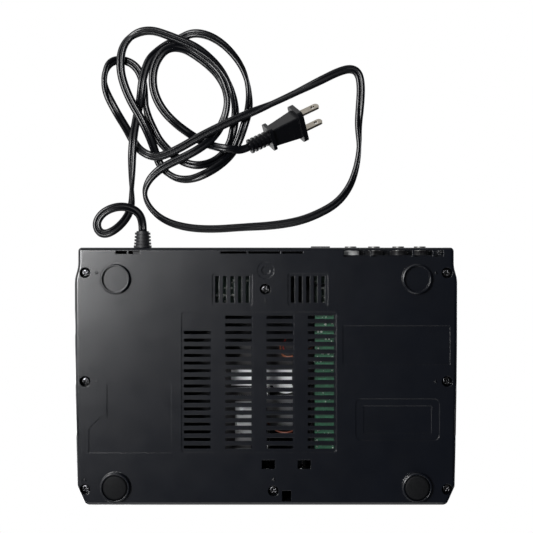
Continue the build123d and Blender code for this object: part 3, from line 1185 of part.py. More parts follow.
SLED_MOTOR_Z = (CHASSIS_UNDER - MOTOR_PLATE - SLED_MOTOR_LENGTH, CHASSIS_UNDER - MOTOR_PLATE)
with BuildPart() as motor_pinion:
    with BuildSketch(Plane.XY.offset(GEAR_Z[0])):
        with Locations(PINION_CENTRE):
            add(PINION_PLAN)
    extrude(amount=GEAR_WIDTH)
    round_z([PINION_CENTRE], PINION_SHAFT_RADIUS, (SLED_MOTOR_Z[1] - 6, GEAR_Z[0]))
save(motor_pinion, "motor_pinion")

with BuildPart() as sled_motor:
    round_z([PINION_CENTRE], SLED_MOTOR_RADIUS, SLED_MOTOR_Z)
    for side in (-1, 1):
        centre = (PINION_CENTRE[0] + side * SLED_MOTOR_RADIUS, PINION_CENTRE[1])
        stand(centre, (2 * SLED_MOTOR_FLAT, 2 * SLED_MOTOR_RADIUS), SLED_MOTOR_Z, Mode.SUBTRACT)
    bore = PINION_SHAFT_RADIUS + SHAFT_GAP
    round_z([PINION_CENTRE], bore, (SLED_MOTOR_Z[1] - 7, SLED_MOTOR_Z[1]), Mode.SUBTRACT)
save(sled_motor, "sled_motor")

with BuildPart() as motor_bracket:
    block(
        [GEAR_CENTRE[0] + x for x in BRACKET_X], [DISC_Y + y for y in BRACKET_Y], PLATE_Z,
    )
    round_z([PINION_CENTRE], shaft_hole, PLATE_Z, Mode.SUBTRACT)
save(motor_bracket, "motor_bracket")

# Strain relief, a ribbed sleeve that the rear wall holds by its neck
with BuildPart() as strain_relief:
    centre = (RELIEF_X, RELIEF_Z)
    grip_y = (INNER_REAR - RELIEF_GRIP, INNER_REAR)
    grip_z = (FLOOR_TOP + GAP, RELIEF_Z + NOTCH_RADIUS)
    round_y(centre, RELIEF_CORE[1], (grip_y[0] - RELIEF_TAIL, grip_y[0]))
    block((RELIEF_X - RELIEF_FLANGE, RELIEF_X + RELIEF_FLANGE), grip_y, grip_z)
    round_y(centre, NOTCH_RADIUS - GAP, (INNER_REAR, REAR))
    round_y(centre, RELIEF_FLANGE, (REAR, REAR + RELIEF_COLLAR))
    with Locations((RELIEF_X, REAR + RELIEF_LENGTH / 2, RELIEF_Z)):
        Cone(*RELIEF_CORE, RELIEF_LENGTH, rotation=(-90, 0, 0))
    for rib in range(RELIEF_RIBS):
        y = REAR + RELIEF_COLLAR + 0.6 + rib * RELIEF_RIB_PITCH
        radius = RELIEF_RIB_RADII[0] + (RELIEF_RIB_RADII[1] - RELIEF_RIB_RADII[0]) * rib / RELIEF_RIBS
        round_y(centre, radius, (y, y + RELIEF_RIB))
save(strain_relief, "strain_relief")

# The cord: a tube of six sides along the route, mitred at each point
points = [Vector(*point) for point in CORD_ROUTE]
runs = [after - before for before, after in zip(points, points[1:])]
with BuildPart() as power_cord:
    with BuildLine() as cord_path:
        Polyline(*points)
    with BuildSketch(Plane(origin=points[0], z_dir=runs[0])):
        RegularPolygon(CORD_DIAMETER / 2, CORD_SIDES)
    sweep(transition=Transition.RIGHT)
save(power_cord, "power_cord")


def least_gap(path, reach):
    """Smallest gap between stretches of the tube that are further apart along it than reach."""
    length = path.length
    count = int(length / 2)
    spots = [path.position_at(step / count) for step in range(count + 1)]
    skip = int(reach / length * count)
    nearest = min(
        (spots[first] - spots[second]).length
        for first in range(len(spots))
        for second in range(first + skip, len(spots))
    )
    return nearest - CORD_DIAMETER


cord_wire = cord_path.wires()[0]
print("cord length", round(cord_wire.length, 1))
cord_gap = least_gap(cord_wire, 5 * CORD_DIAMETER)
print("least gap of the cord to itself", round(cord_gap, 2), "wanted over", CORD_LEAST_GAP)

# Plug at the cord's end, rolled about its own axis as it lies
AXIS = runs[-1].normalized()
LEVEL = Vector(0, 0, 1).cross(AXIS).normalized()
ACROSS = LEVEL.rotate(Axis((0, 0, 0), AXIS), PLUG_ROLL)
PLUG_PLANE = Plane(origin=points[-1], x_dir=ACROSS, z_dir=AXIS)
with BuildPart() as plug:
    with BuildSketch(PLUG_PLANE):
        Circle(PLUG_TAIL_RADII[0])
    with BuildSketch(PLUG_PLANE.offset(PLUG_COLLAR[0])):
        Circle(PLUG_TAIL_RADII[1])
    loft()
    for rib in range(PLUG_RIBS):
        with BuildSketch(PLUG_PLANE.offset(0.6 + PLUG_RIB_PITCH * rib)):
            Circle(PLUG_RIB_RADIUS)
        extrude(amount=PLUG_RIB_PITCH / 2)
    with BuildSketch(PLUG_PLANE.offset(PLUG_COLLAR[0])):
        RectangleRounded(*PLUG_COLLAR_SIZE, 2)
    extrude(amount=PLUG_COLLAR[1] - PLUG_COLLAR[0])
    with BuildSketch(PLUG_PLANE.offset(PLUG_COLLAR[1])):
        RectangleRounded(*PLUG_WAIST_SIZE, 1)
    with BuildSketch(PLUG_PLANE.offset(PLUG_FACE)):
        RectangleRounded(*PLUG_COLLAR_SIZE, 1)
    loft()
    with BuildSketch(PLUG_PLANE.offset(PLUG_FACE)):
        RectangleRounded(*PLUG_FACE_SIZE, 3)
    extrude(amount=PLUG_LENGTH - PLUG_FACE)
save(plug, "plug")

with BuildPart() as plug_blades:
    for side in (-1, 1):
        inner = points[-1] + ACROSS * (side * BLADE_SPACING / 2 - BLADE[0] / 2)
        with BuildSketch(Plane(origin=inner, x_dir=AXIS, z_dir=ACROSS)) as outline:
            with Locations((PLUG_LENGTH + BLADE[2] / 2, 0)):
                Rectangle(BLADE[2], BLADE[1])
            fillet(outline.vertices().group_by(SortBy.DISTANCE)[-1], radius=BLADE_CORNER)
            with Locations((PLUG_LENGTH + BLADE[2] - BLADE_HOLE[1], 0)):
                Circle(BLADE_HOLE[0], mode=Mode.SUBTRACT)
        extrude(amount=BLADE[0])
save(plug_blades, "plug_blades")
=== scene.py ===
import json
import math
import random

import bmesh
import bpy
import numpy as np
from mathutils import Matrix, Vector


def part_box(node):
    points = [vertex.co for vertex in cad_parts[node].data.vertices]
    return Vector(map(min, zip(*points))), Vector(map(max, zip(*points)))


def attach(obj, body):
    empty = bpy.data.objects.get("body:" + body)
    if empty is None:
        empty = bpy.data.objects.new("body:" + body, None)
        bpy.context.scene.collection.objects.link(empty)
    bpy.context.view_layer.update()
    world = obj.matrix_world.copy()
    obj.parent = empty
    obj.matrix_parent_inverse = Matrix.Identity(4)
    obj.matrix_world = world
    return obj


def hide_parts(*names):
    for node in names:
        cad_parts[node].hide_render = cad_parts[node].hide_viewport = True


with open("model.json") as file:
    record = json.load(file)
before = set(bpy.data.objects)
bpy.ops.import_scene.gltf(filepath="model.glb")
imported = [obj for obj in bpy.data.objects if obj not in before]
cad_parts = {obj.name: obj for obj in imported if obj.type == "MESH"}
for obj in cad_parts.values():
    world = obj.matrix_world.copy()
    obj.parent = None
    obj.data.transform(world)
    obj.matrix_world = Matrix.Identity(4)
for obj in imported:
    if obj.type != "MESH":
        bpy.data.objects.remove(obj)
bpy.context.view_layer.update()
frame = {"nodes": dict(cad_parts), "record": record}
NODES = frame["nodes"]
scene = bpy.context.scene

# Camera below the underside, rear edge up, as in the photograph
CAMERA_PLACE = (-0.0003, 0.0759, -0.661)
CAMERA_LENS = 65.0
SENSOR_WIDTH = 36.0


def make_camera():
    data = bpy.data.cameras.new("camera")
    data.lens = CAMERA_LENS
    data.sensor_width = SENSOR_WIDTH
    data.clip_start = 0.01
    data.clip_end = 20.0
    camera = bpy.data.objects.new("camera", data)
    scene.collection.objects.link(camera)
    x, y, z = CAMERA_PLACE
    camera.matrix_world = Matrix(((-1, 0, 0, x), (0, 1, 0, y), (0, 0, -1, z), (0, 0, 0, 1)))
    scene.camera = camera


make_camera()

# Mains lead: two round cores side by side. Sizes are in metres and control points in millimetres
CORD_WIDTH = 0.0059
CORD_THICK = 0.0031
WEB_THICK = 0.0019
LOBE_STEPS = 20
CURVE_STEPS = 8
CORD_CLEARANCE = 0.00025
JOIN_REACH = 0.000002
CORD_ROUTE = [
    (86, 100.5, 10), (86, 106.5, 10), (88, 112.5, 7.8), (92.5, 116, 5), (99.5, 117.5, 2.9),
    (107, 116, 1.9), (113.5, 112, 1.9), (117, 106, 1.9), (115.5, 100, 1.9), (111, 98, 1.9),
    (105, 100.5, 1.9), (99.5, 105.5, 4.2), (95.5, 112.5, 9.5), (93.5, 120, 10), (93, 129.5, 5),
    (92.5, 141, 1.9), (92.3, 153.5, 1.9), (91.5, 164.5, 1.9), (90.5, 174, 5.2), (89, 183.5, 7.4),
    (86.5, 193, 3.2), (85.5, 202.5, 1.9), (83.5, 211.5, 1.9), (80.5, 219.5, 1.9), (75, 225.5, 4.6),
    (68.5, 230, 6.6), (60.5, 233.5, 6.6), (51.5, 237, 2.6), (42, 236, 1.9), (32.5, 231.5, 1.9),
    (24, 224, 1.9), (17, 214.5, 1.9), (13, 204, 1.9), (11.5, 193.5, 3.4), (12, 184, 6.6),
    (15, 174, 6.6), (19, 163, 7.6), (23.5, 154, 8.4), (31.5, 146, 4), (41, 140, 1.9),
    (51, 136, 1.9), (60.5, 136, 1.9), (68, 140, 6), (73.5, 146, 6.8), (76.5, 154, 6.6),
    (79, 162, 3.6), (82.5, 170.5, 1.9), (87.2, 179.7, 1.9), (92.5, 188.5, 1.9), (97, 198.5, 1.9),
    (100, 208.5, 1.9), (100.5, 219, 1.9), (98.5, 228, 1.9), (93.5, 234.5, 1.9), (86, 238, 1.9),
    (78, 238.5, 1.9), (69.3, 235.8, 1.9), (59.5, 232, 1.9), (49, 227.5, 1.9), (39.5, 221, 1.9),
    (31.5, 213, 1.9), (26, 204, 1.9), (22.5, 194, 2.6), (21, 184, 6.6), (22, 173.5, 6.6),
    (24.5, 163.5, 6.6), (29, 155, 7), (36.5, 148.5, 6.6), (46, 145.5, 4), (55, 147, 5.6),
    (62.5, 151.5, 6.6), (68.5, 157, 6.6), (74, 163, 5.6), (78, 170.5, 6.2), (81.5, 178.5, 6.6),
    (83.5, 187, 6.6), (84.5, 196, 7), (85.5, 205, 7), (88.5, 212.5, 6.4), (94, 217.5, 6.6),
    (101.5, 219.5, 6.6), (107.5, 217, 3), (111, 211, 1.9), (112, 203.5, 1.9), (110, 195.5, 1.9),
    (106, 187.5, 1.9), (101.5, 179.5, 1.9), (96.5, 171, 4.8), (93, 164, 7.4), (88.5, 157.5, 5.4),
    (82.5, 153, 1.9), (75, 151, 1.9), (66.5, 154, 1.9), (58, 158.2, 1.9), (45.5, 165.5, 1.9),
    (30.5, 173, 1.9), (14, 180.5, 1.9), (-4, 188, 1.9), (-22, 196.5, 1.9), (-38, 204.3, 1.9),
    (-49.5, 210, 1.9), (-58.5, 212.5, 1.9), (-64, 209, 1.9), (-65.5, 200, 1.9), (-64.8, 187, 1.9),
    (-63.5, 173, 1.9), (-64.5, 158.5, 1.9), (-62.5, 144, 1.9), (-58, 131, 1.9), (-49.5, 120, 1.9),
    (-38, 113, 1.9), (-23, 107, 1.9), (-4, 104, 1.9), (16.5, 103, 1.9), (36.5, 101.5, 1.9),
    (54.5, 102.5, 1.9), (69.5, 107, 1.9), (79.5, 115, 1.9), (84.5, 125.5, 1.9), (81.5, 135, 1.9),
    (74, 142.5, 1.9), (65, 147.5, 1.9), (55, 152, 1.9), (46, 157, 1.9), (38.5, 163, 2.2),
    (32.5, 171, 7), (28.5, 180, 6.6), (26.5, 190, 5.8), (28.5, 199.5, 5.6), (33, 208.5, 5.6),
    (40, 215.5, 5.6), (48, 221.5, 5.6), (56, 226.5, 4.8), (64, 227.5, 2.6), (70.5, 224.5, 1.9),
    (75.5, 217.5, 1.9), (78, 209.5, 1.9), (78, 199.5, 1.9), (75, 190, 1.9), (69.5, 181.5, 1.9),
    (62, 174, 1.9), (55, 169, 4.6), (48.5, 165, 7), (41, 161, 7.6), (32.5, 158, 2.6),
    (24.5, 157, 1.9), (17.3, 156.2, 6.1), (12, 158.9, 7.4),
]
# Turn of the flat section in degrees at some of the points. It lies flat where another run crosses
# below or above it and tilts where two runs lie close beside each other.
CORD_TURNS = {
    0: 0, 8: 0, 10: 10, 12: 10, 14: 80, 15: 40, 16: 0, 23: 0, 28: 0, 30: 40, 32: 80, 33: 60, 34: 20,
    35: 0, 36: 20, 37: 50, 38: 30, 39: 0, 40: 40, 42: 60, 43: 10, 44: 0, 51: 0, 53: 40, 54: 0, 58: 0,
    59: 40, 61: 80, 63: 40, 64: 0, 65: 50, 66: 50, 67: 30, 68: 30, 69: 30, 70: 0, 73: 0, 75: 60,
    77: 0, 80: 0, 82: 80, 83: 80, 85: 0, 96: 0, 97: 60, 98: 50, 99: 10, 101: 0, 104: 0, 106: 80,
    108: 40, 110: 0, 111: 0, 113: 40, 115: 40, 118: 80, 120: 0, 125: 0, 126: 40, 128: 60, 130: 0,
    143: 0, 144: 20, 146: 20, 147: 30,
}
# Extra height in millimetres where one run of the flat lead rests on another
CORD_RISES = {
    22: 1, 23: 2, 24: 2, 36: 2, 37: 1.5, 65: 1, 66: 1.5, 67: 1, 72: 0.5, 87: 2, 88: 1, 124: 2,
    125: 1, 132: 1, 133: 1, 142: 1, 143: 2, 144: 1,
}


def cord_turns():
    """Turn in radians at every control point."""
    count = len(CORD_ROUTE)
    return np.radians(np.interp(range(count), list(CORD_TURNS), list(CORD_TURNS.values())))


def cord_points():
    """Control points in metres, lifted where the section tilts or rests on another run."""
    offset = (CORD_WIDTH - CORD_THICK) / 2
    points = []
    for number, ((x, y, z), turn) in enumerate(zip(CORD_ROUTE, cord_turns())):
        height = (z + CORD_RISES.get(number, 0)) / 1000
        lowest = CORD_CLEARANCE + CORD_THICK / 2 + offset * abs(math.sin(turn))
        points.append((x / 1000, y / 1000, max(height, lowest)))
    return points


def route_line(points):
    """Vertices of the NURBS line that the control points give, from a curve with no bevel."""
    curve = bpy.data.curves.new("route", "CURVE")
    curve.dimensions = "3D"
    spline = curve.splines.new("NURBS")
    spline.points.add(len(points) - 1)
    for point, place in zip(spline.points, points):
        point.co = (*place, 1.0)
    spline.order_u = 3
    spline.use_endpoint_u = True
    spline.resolution_u = CURVE_STEPS
    holder = bpy.data.objects.new("route", curve)
    scene.collection.objects.link(holder)
    bpy.context.view_layer.update()
    mesh = bpy.data.meshes.new_from_object(holder)
    line = [vertex.co.copy() for vertex in mesh.vertices]
    bpy.data.objects.remove(holder)
    bpy.data.meshes.remove(mesh)
    return line


def tangents(line):
    """Direction of the line at each of its points."""
    ahead = [line[min(i + 1, len(line) - 1)] - line[max(i - 1, 0)] for i in range(len(line))]
    return [step.normalized() for step in ahead]


def mesh_object(name, verts, faces, smooth=True, closed=True):
    """Object from lists of places and faces. A closed form is joined at its poles and faces outward."""
    mesh = bpy.data.meshes.new(name)
    mesh.from_pydata(verts, [], faces)
    mesh.update()
    if closed:
        form = bmesh.new()
        form.from_mesh(mesh)
        bmesh.ops.remove_doubles(form, verts=form.verts, dist=JOIN_REACH)
        bmesh.ops.recalc_face_normals(form, faces=form.faces)
        form.to_mesh(mesh)
        form.free()
    if smooth:
        for polygon in mesh.polygons:
            polygon.use_smooth = True
    thing = bpy.data.objects.new(name, mesh)
    scene.collection.objects.link(thing)
    return thing


def twin_section():
    """Outline of two round cores joined by a thin web, as pairs across and up."""
    radius = CORD_THICK / 2
    offset = (CORD_WIDTH - CORD_THICK) / 2
    inner = math.asin(WEB_THICK / 2 / radius)
    reach = math.pi - inner
    outline = []
    for side in (1, -1):
        for step in range(LOBE_STEPS + 1):
            angle = -reach + 2 * reach * step / LOBE_STEPS
            outline.append((side * (offset + radius * math.cos(angle)), side * radius * math.sin(angle)))
        outline.append((0.0, side * WEB_THICK / 2))
    return outline


def swept(name, line, section_of, turn_of):
    """Tube along a line. section_of gives the outline and turn_of the twist at each place."""
    verts = []
    faces = []
    ways = tangents(line)
    for number, (place, way) in enumerate(zip(line, ways)):
        side = way.cross(Vector((0, 0, 1)))
        side.normalize()
        up = side.cross(way)
        turn = turn_of(number)
        across = side * math.cos(turn) + up * math.sin(turn)
        rise = up * math.cos(turn) - side * math.sin(turn)
        outline = section_of(number)
        verts.extend(place + across * a + rise * b for a, b in outline)
    count = len(outline)
    for ring in range(len(line) - 1):
        for k in range(count):
            low = ring * count
            faces.append((low + k, low + (k + 1) % count, low + count + (k + 1) % count, low + count + k))
    faces.append(tuple(reversed(range(count))))
    last = (len(line) - 1) * count
    faces.append(tuple(range(last, last + count)))
    return mesh_object(name, verts, faces)


def make_cord():
    """Flat twin lead from the strain relief to the plug."""
    line = route_line(cord_points())
    spans = len(CORD_ROUTE) - 2
    # Where along the line each control point pulls most, counted in spans
    marks = [0] + [i - 0.5 for i in range(1, len(CORD_ROUTE) - 1)] + [spans]
    turns = cord_turns()
    outline = twin_section()
    places = [spans * i / (len(line) - 1) for i in range(len(line))]
    cord = swept("mains_lead", line, lambda i: outline, lambda i: np.interp(places[i], marks, turns))
    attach(cord, "case")
    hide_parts("power_cord")
    return cord


cord = make_cord()


# Small pieces on the shell and inside it, in millimetres
SCREW_SEED = 7
SCREW_PLACES = [(125, 71.5), (125, -3.5), (125, -78), (-125, 71.5), (-125, -3.5), (-125, -78),
                (0.5, 60.3), (-5, -79)]
SCREW_SEAT = 8.0
SCREW_HEAD = 3.25
SCREW_HEIGHT = 2.3
SCREW_RINGS = 26
SCREW_SIDES = 80
DOME_DROP = 0.72
CROSS_REACH = 1.9
CROSS_HALF = 0.55
CROSS_DEPTH = 1.3
CROSS_WALL_SHARE = 0.45
CROSS_END_SHARE = 0.6
# Middle of each arrowhead and its turn in degrees
MARK_PLACES = [(117, 71.5, 90), (117, -3.5, 90), (125.5, -71.3, 0), (-117, 71.5, 0),
               (-117, -3.5, -90), (-5, -71, 0), (0.5, 52.2, 0)]
MARK_SIZE = 1.8
MARK_BASE = 3.0
MARK_HEIGHT = 0.2
# Radius and height of a foot pad's outline
PAD_OUTLINE = [(0, 0), (7.0, 0), (7.6, 0.12), (8.1, 0.42), (8.5, 0.9), (8.7, 1.5), (8.7, 2.5), (0, 2.5)]
PAD_INSET = 8.0
PAD_SIDES = 64
SYMBOL_HEIGHT = 0.12
SYMBOL_SINK = 0.02
JOINT_SEED = 11
JOINT_COUNTS = {"main_board": 150, "power_board": 40}
JOINT_PROFILE = ((1.0, 0.0), (0.85, 0.35), (0.45, 0.75), (0.2, 1.25))
JOINT_SIZES = (0.5, 0.95)
JOINT_MARGIN = 4.0
JOINT_SIDES = 8
PIN_GRID = 5.08
PIN_PITCH = 2.2
PINS_IN_A_ROW = (1, 1, 2, 3)
# Inner wires: routes in millimetres, lengths and thickness in metres
WIRES = {
    "wire_red": [(-33, 22, 14), (-28, 21, 13), (-22, 18, 11), (-16, 16, 10), (-12, 18, 12),
                 (-12, 21, 16), (-13, 23, 20), (-14, 24, 23)],
    "wire_copper": [(-33, 19, 14), (-27, 17, 12), (-21, 14, 10), (-15, 12.5, 10.5), (-11, 14, 13),
                    (-10, 18, 17), (-10, 21, 20), (-11, 22, 23)],
    "wire_brown": [(-33, -36, 14), (-27, -36, 14), (-21, -38, 11), (-15, -40, 10), (-9, -40, 12),
                   (-3, -37, 17), (0, -33, 20)],
}
WIRE_SIDES = 10
WIRE_THICK = 0.0011


def metres(points):
    return [tuple(part / 1000 for part in point) for point in points]


def box_of(node):
    """Lowest and highest corner of a CAD node in millimetres."""
    return [[part * 1000 for part in corner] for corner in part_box(node)]


def circle(radius, sides):
    """Points on a circle about the origin."""
    angles = [2 * math.pi * side / sides for side in range(sides)]
    return [(radius * math.cos(angle), radius * math.sin(angle)) for angle in angles]


def ring_faces(start, rings, sides):
    """Faces between rings of vertices that follow one another from start."""
    faces = []
    for ring in range(rings - 1):
        for side in range(sides):
            low, after = start + ring * sides, (side + 1) % sides
            faces.append((low + side, low + sides + side, low + sides + after, low + after))
    return faces


def turned(outline, places, sides):
    """Faces of profiles turned about upright axes. Each outline pair is radius and height."""
    verts, faces = [], []
    for x, y in places:
        faces += ring_faces(len(verts), len(outline), sides)
        for radius, height in outline:
            verts.extend((x + a, y + b, height) for a, b in circle(radius, sides))
    return metres(verts), faces


def make_pads():
    """Front foot pads with a rounded edge."""
    low, high = box_of("front_pads")
    y = (low[1] + high[1]) / 2
    x = high[0] - PAD_INSET
    verts, faces = turned(PAD_OUTLINE, [(x, y), (-x, y)], PAD_SIDES)
    pads = mesh_object("foot_pads", verts, faces)
    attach(pads, "case")
    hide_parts("front_pads")
    return pads


def cross_depth(x, y):
    """Depth of the driver recess: two tapered slots that meet in the middle."""
    deep = 0.0
    for along, across in ((x, y), (y, x)):
        wall = min(1.0, max(0.0, (CROSS_HALF - abs(across)) / (CROSS_WALL_SHARE * CROSS_HALF)))
        end = min(1.0, max(0.0, (CROSS_REACH - abs(along)) / (CROSS_END_SHARE * CROSS_REACH)))
        deep = max(deep, CROSS_DEPTH * wall * end)
    return deep


def make_screws():
    """Pan heads with a cross recess, each turned to its own angle."""
    verts, faces = [], []
    chance = random.Random(SCREW_SEED)
    for x, y in SCREW_PLACES:
        turn = chance.uniform(0, math.pi / 2)
        faces += ring_faces(len(verts), SCREW_RINGS + 1, SCREW_SIDES)
        for ring in range(SCREW_RINGS + 1):
            part = ring / SCREW_RINGS
            dome = SCREW_HEIGHT * math.sqrt(1 - DOME_DROP * part ** 4) if part < 1 else 0.0
            for px, py in circle(SCREW_HEAD * part, SCREW_SIDES):
                verts.append((x + px * math.cos(turn) - py * math.sin(turn),
                              y + px * math.sin(turn) + py * math.cos(turn),
                              SCREW_SEAT - dome + cross_depth(px, py)))
        faces.append(tuple(range(len(verts) - SCREW_SIDES, len(verts))))
    screws = mesh_object("case_screws", metres(verts), faces)
    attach(screws, "case")
    return screws


def make_marks():
    """Low moulded arrowheads that point out the screws."""
    verts, faces = [], []
    for x, y, turn in MARK_PLACES:
        start = len(verts)
        for step in range(3):
            angle = math.radians(90 + turn + 120 * step)
            verts.append((x + MARK_SIZE * math.cos(angle), y + MARK_SIZE * math.sin(angle), MARK_BASE))
        verts.append((x, y, MARK_BASE - MARK_HEIGHT))
        faces += [(start, start + 1, start + 3), (start + 1, start + 2, start + 3),
                  (start + 2, start, start + 3), (start + 2, start + 1, start)]
    marks = mesh_object("moulded_marks", metres(verts), faces, smooth=False)
    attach(marks, "case")
    return marks


def make_joints():
    """Tinned pins on the lower side of the main and power boards."""
    verts, faces = [], []
    chance = random.Random(JOINT_SEED)
    for node, count in JOINT_COUNTS.items():
        low, high = box_of(node)
        for _ in range(count):
            row = round(chance.uniform(low[1] + JOINT_MARGIN, high[1] - JOINT_MARGIN) / PIN_GRID) * PIN_GRID
            x = chance.uniform(low[0] + JOINT_MARGIN, high[0] - JOINT_MARGIN)
            size = chance.uniform(*JOINT_SIZES)
            for pin in range(chance.choice(PINS_IN_A_ROW)):
                start = len(verts)
                for radius, height in JOINT_PROFILE:
                    verts.extend((x + PIN_PITCH * pin + a, row + b, low[2] - height * size)
                                 for a, b in circle(size * radius, JOINT_SIDES))
                faces += ring_faces(start, len(JOINT_PROFILE), JOINT_SIDES)
                faces.append(tuple(range(len(verts) - JOINT_SIDES, len(verts))))
                faces.append(tuple(range(start, start + JOINT_SIDES)))
    joints = mesh_object("solder_joints", metres(verts), faces)
    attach(joints, "case")
    return joints


def make_wires():
    """Thin wires from the main board's plugs to the mechanism."""
    ring = circle(WIRE_THICK / 2, WIRE_SIDES)
    made = []
    for name, points in WIRES.items():
        line = route_line(metres(points))
        wire = swept(name, line, lambda i: ring, lambda i: 0.0)
        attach(wire, "case")
        made.append(wire)
    return made


def symbol(name, button, outlines):
    """Raised print on a button: flat shapes drawn in millimetres about the button's middle."""
    low, high = box_of(button)
    x, y, top = (low[0] + high[0]) / 2, (low[1] + high[1]) / 2, high[2]
    verts, faces = [], []
    for outline in outlines:
        start, count = len(verts), len(outline)
        for height in (-SYMBOL_SINK, SYMBOL_HEIGHT):
            verts.extend((x + a, y + b, top + height) for a, b in outline)
        faces.append(tuple(range(start, start + count)))
        faces.append(tuple(range(start + count, start + 2 * count)))
        for k in range(count):
            after = (k + 1) % count
            faces.append((start + k, start + after, start + count + after, start + count + k))
    mark = mesh_object(name, metres(verts), faces, smooth=False)
    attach(mark, button)
    return mark


def triangle(x, size, way):
    """Arrow that points to the right where way is 1 and to the left where it is -1."""
    back, tip, half = x - way * size * 0.5, x + way * size * 0.55, size * 0.6
    return [(back, -half), (tip, 0), (back, half)][::way]


def block(x, wide, high):
    """Upright bar about a place across the button."""
    left, right, half = x - wide / 2, x + wide / 2, high / 2
    return [(left, -half), (right, -half), (right, half), (left, half)]


def arc(radius, wide, start, end, steps=14):
    """Short pieces of a ring between two angles in degrees."""
    pieces = []
    for step in range(steps):
        one, two = (math.radians(start + (end - start) * (step + k) / steps) for k in (0, 1))
        pieces.append([(radius * math.cos(one), radius * math.sin(one)),
                       ((radius + wide) * math.cos(one), (radius + wide) * math.sin(one)),
                       ((radius + wide) * math.cos(two), (radius + wide) * math.sin(two)),
                       (radius * math.cos(two), radius * math.sin(two))])
    return pieces


def make_symbols():
    """Generic signs of the six buttons."""
    return [
        symbol("symbol_play", "play_button", [triangle(0.3, 5, 1)]),
        symbol("symbol_pause", "pause_button", [block(-1.1, 1, 3.6), block(1.1, 1, 3.6)]),
        symbol("symbol_stop", "stop_button", [block(0, 3.2, 3.2)]),
        symbol("symbol_next", "next_button",
               [triangle(-1.3, 2.4, 1), triangle(0.9, 2.4, 1), block(2.5, 0.6, 2.8)]),
        symbol("symbol_previous", "previous_button",
               [triangle(1.3, 2.4, -1), triangle(-0.9, 2.4, -1), block(-2.5, 0.6, 2.8)]),
        symbol("symbol_power", "power_button",
               arc(2.0, 0.6, 120, 420) + [[(-0.3, 0.6), (0.3, 0.6), (0.3, 3.2), (-0.3, 3.2)]]),
    ]


pads = make_pads()
screws = make_screws()
marks = make_marks()
joints = make_joints()
wires = make_wires()
symbols = make_symbols()


# Places in metres where one node changes its look
WHITE_COLLAR_FROM_X = (-0.0682, -0.0678)
# Motor plate: zinc within these limits, painted black shade beyond them
UNSHADED_PLATE_TO_Y = (0.0024, 0.0027)
UNSHADED_PLATE_FROM_X = (-0.0185, -0.0182)
# Circuit board: painted shade from these places towards the rear edge
SHADED_BOARD_FROM_Y = (0.044, 0.050)
COAT_ROUGHNESS = 0.08
DRIFT_DETAIL = 4.0


# Parts that the materials share

def nodes_of(name):
    """New material with its tree and its shader."""
    made = bpy.data.materials.new(name)
    made.use_nodes = True
    tree = made.node_tree
    shader = tree.nodes["Principled BSDF"]
    return made, tree, shader


def object_place(tree):
    """Place on the object, in metres of the shared frame."""
    return tree.nodes.new("ShaderNodeTexCoord").outputs["Object"]


def axes(tree, vector):
    """Outputs X, Y and Z of a vector."""
    node = tree.nodes.new("ShaderNodeSeparateXYZ")
    tree.links.new(vector, node.inputs[0])
    return node.outputs


def stretched(tree, source, scale):
    node = tree.nodes.new("ShaderNodeMapping")
    node.inputs["Scale"].default_value = scale
    tree.links.new(source, node.inputs["Vector"])
    return node.outputs["Vector"]


def noise(tree, source, scale, detail=3.0):
    node = tree.nodes.new("ShaderNodeTexNoise")
    node.inputs["Scale"].default_value = scale
    node.inputs["Detail"].default_value = detail
    node.inputs["Roughness"].default_value = 0.55
    tree.links.new(source, node.inputs["Vector"])
    return node.outputs["Fac"]


def maths(tree, operation, first, second):
    """Two values joined by an operation. The first may be a plain number."""
    node = tree.nodes.new("ShaderNodeMath")
    node.operation = operation
    for socket, value in zip(node.inputs, (first, second)):
        if isinstance(value, float):
            socket.default_value = value
        else:
            tree.links.new(value, socket)
    return node.outputs[0]


def mapped(tree, value, low, high, start=0.3, end=0.7):
    """Value from start to end turned into low to high."""
    node = tree.nodes.new("ShaderNodeMapRange")
    node.inputs["From Min"].default_value = start
    node.inputs["From Max"].default_value = end
    node.inputs["To Min"].default_value = low
    node.inputs["To Max"].default_value = high
    tree.links.new(value, node.inputs["Value"])
    return node.outputs["Result"]


def mixed(tree, factor, first, second):
    """Two colours, each a tuple or a socket, mixed by a factor."""
    node = tree.nodes.new("ShaderNodeMix")
    node.data_type = "RGBA"
    tree.links.new(factor, node.inputs["Factor"])
    for socket, value in ((node.inputs[6], first), (node.inputs[7], second)):
        if isinstance(value, (tuple, list)):
            socket.default_value = (*value[:3], 1.0)
        else:
            tree.links.new(value, socket)
    return node.outputs[2]


def bumped(tree, shader, height, distance, normal=None):
    node = tree.nodes.new("ShaderNodeBump")
    node.inputs["Distance"].default_value = distance
    tree.links.new(height, node.inputs["Height"])
    if normal:
        tree.links.new(normal, node.inputs["Normal"])
    tree.links.new(node.outputs["Normal"], shader.inputs["Normal"])


def rounded_normal(tree, radius):
    node = tree.nodes.new("ShaderNodeBevel")
    node.samples = 4
    node.inputs["Radius"].default_value = radius
    return node.outputs["Normal"]


def scaled(colour, factor):
    return tuple(min(1.0, part * factor) for part in colour)


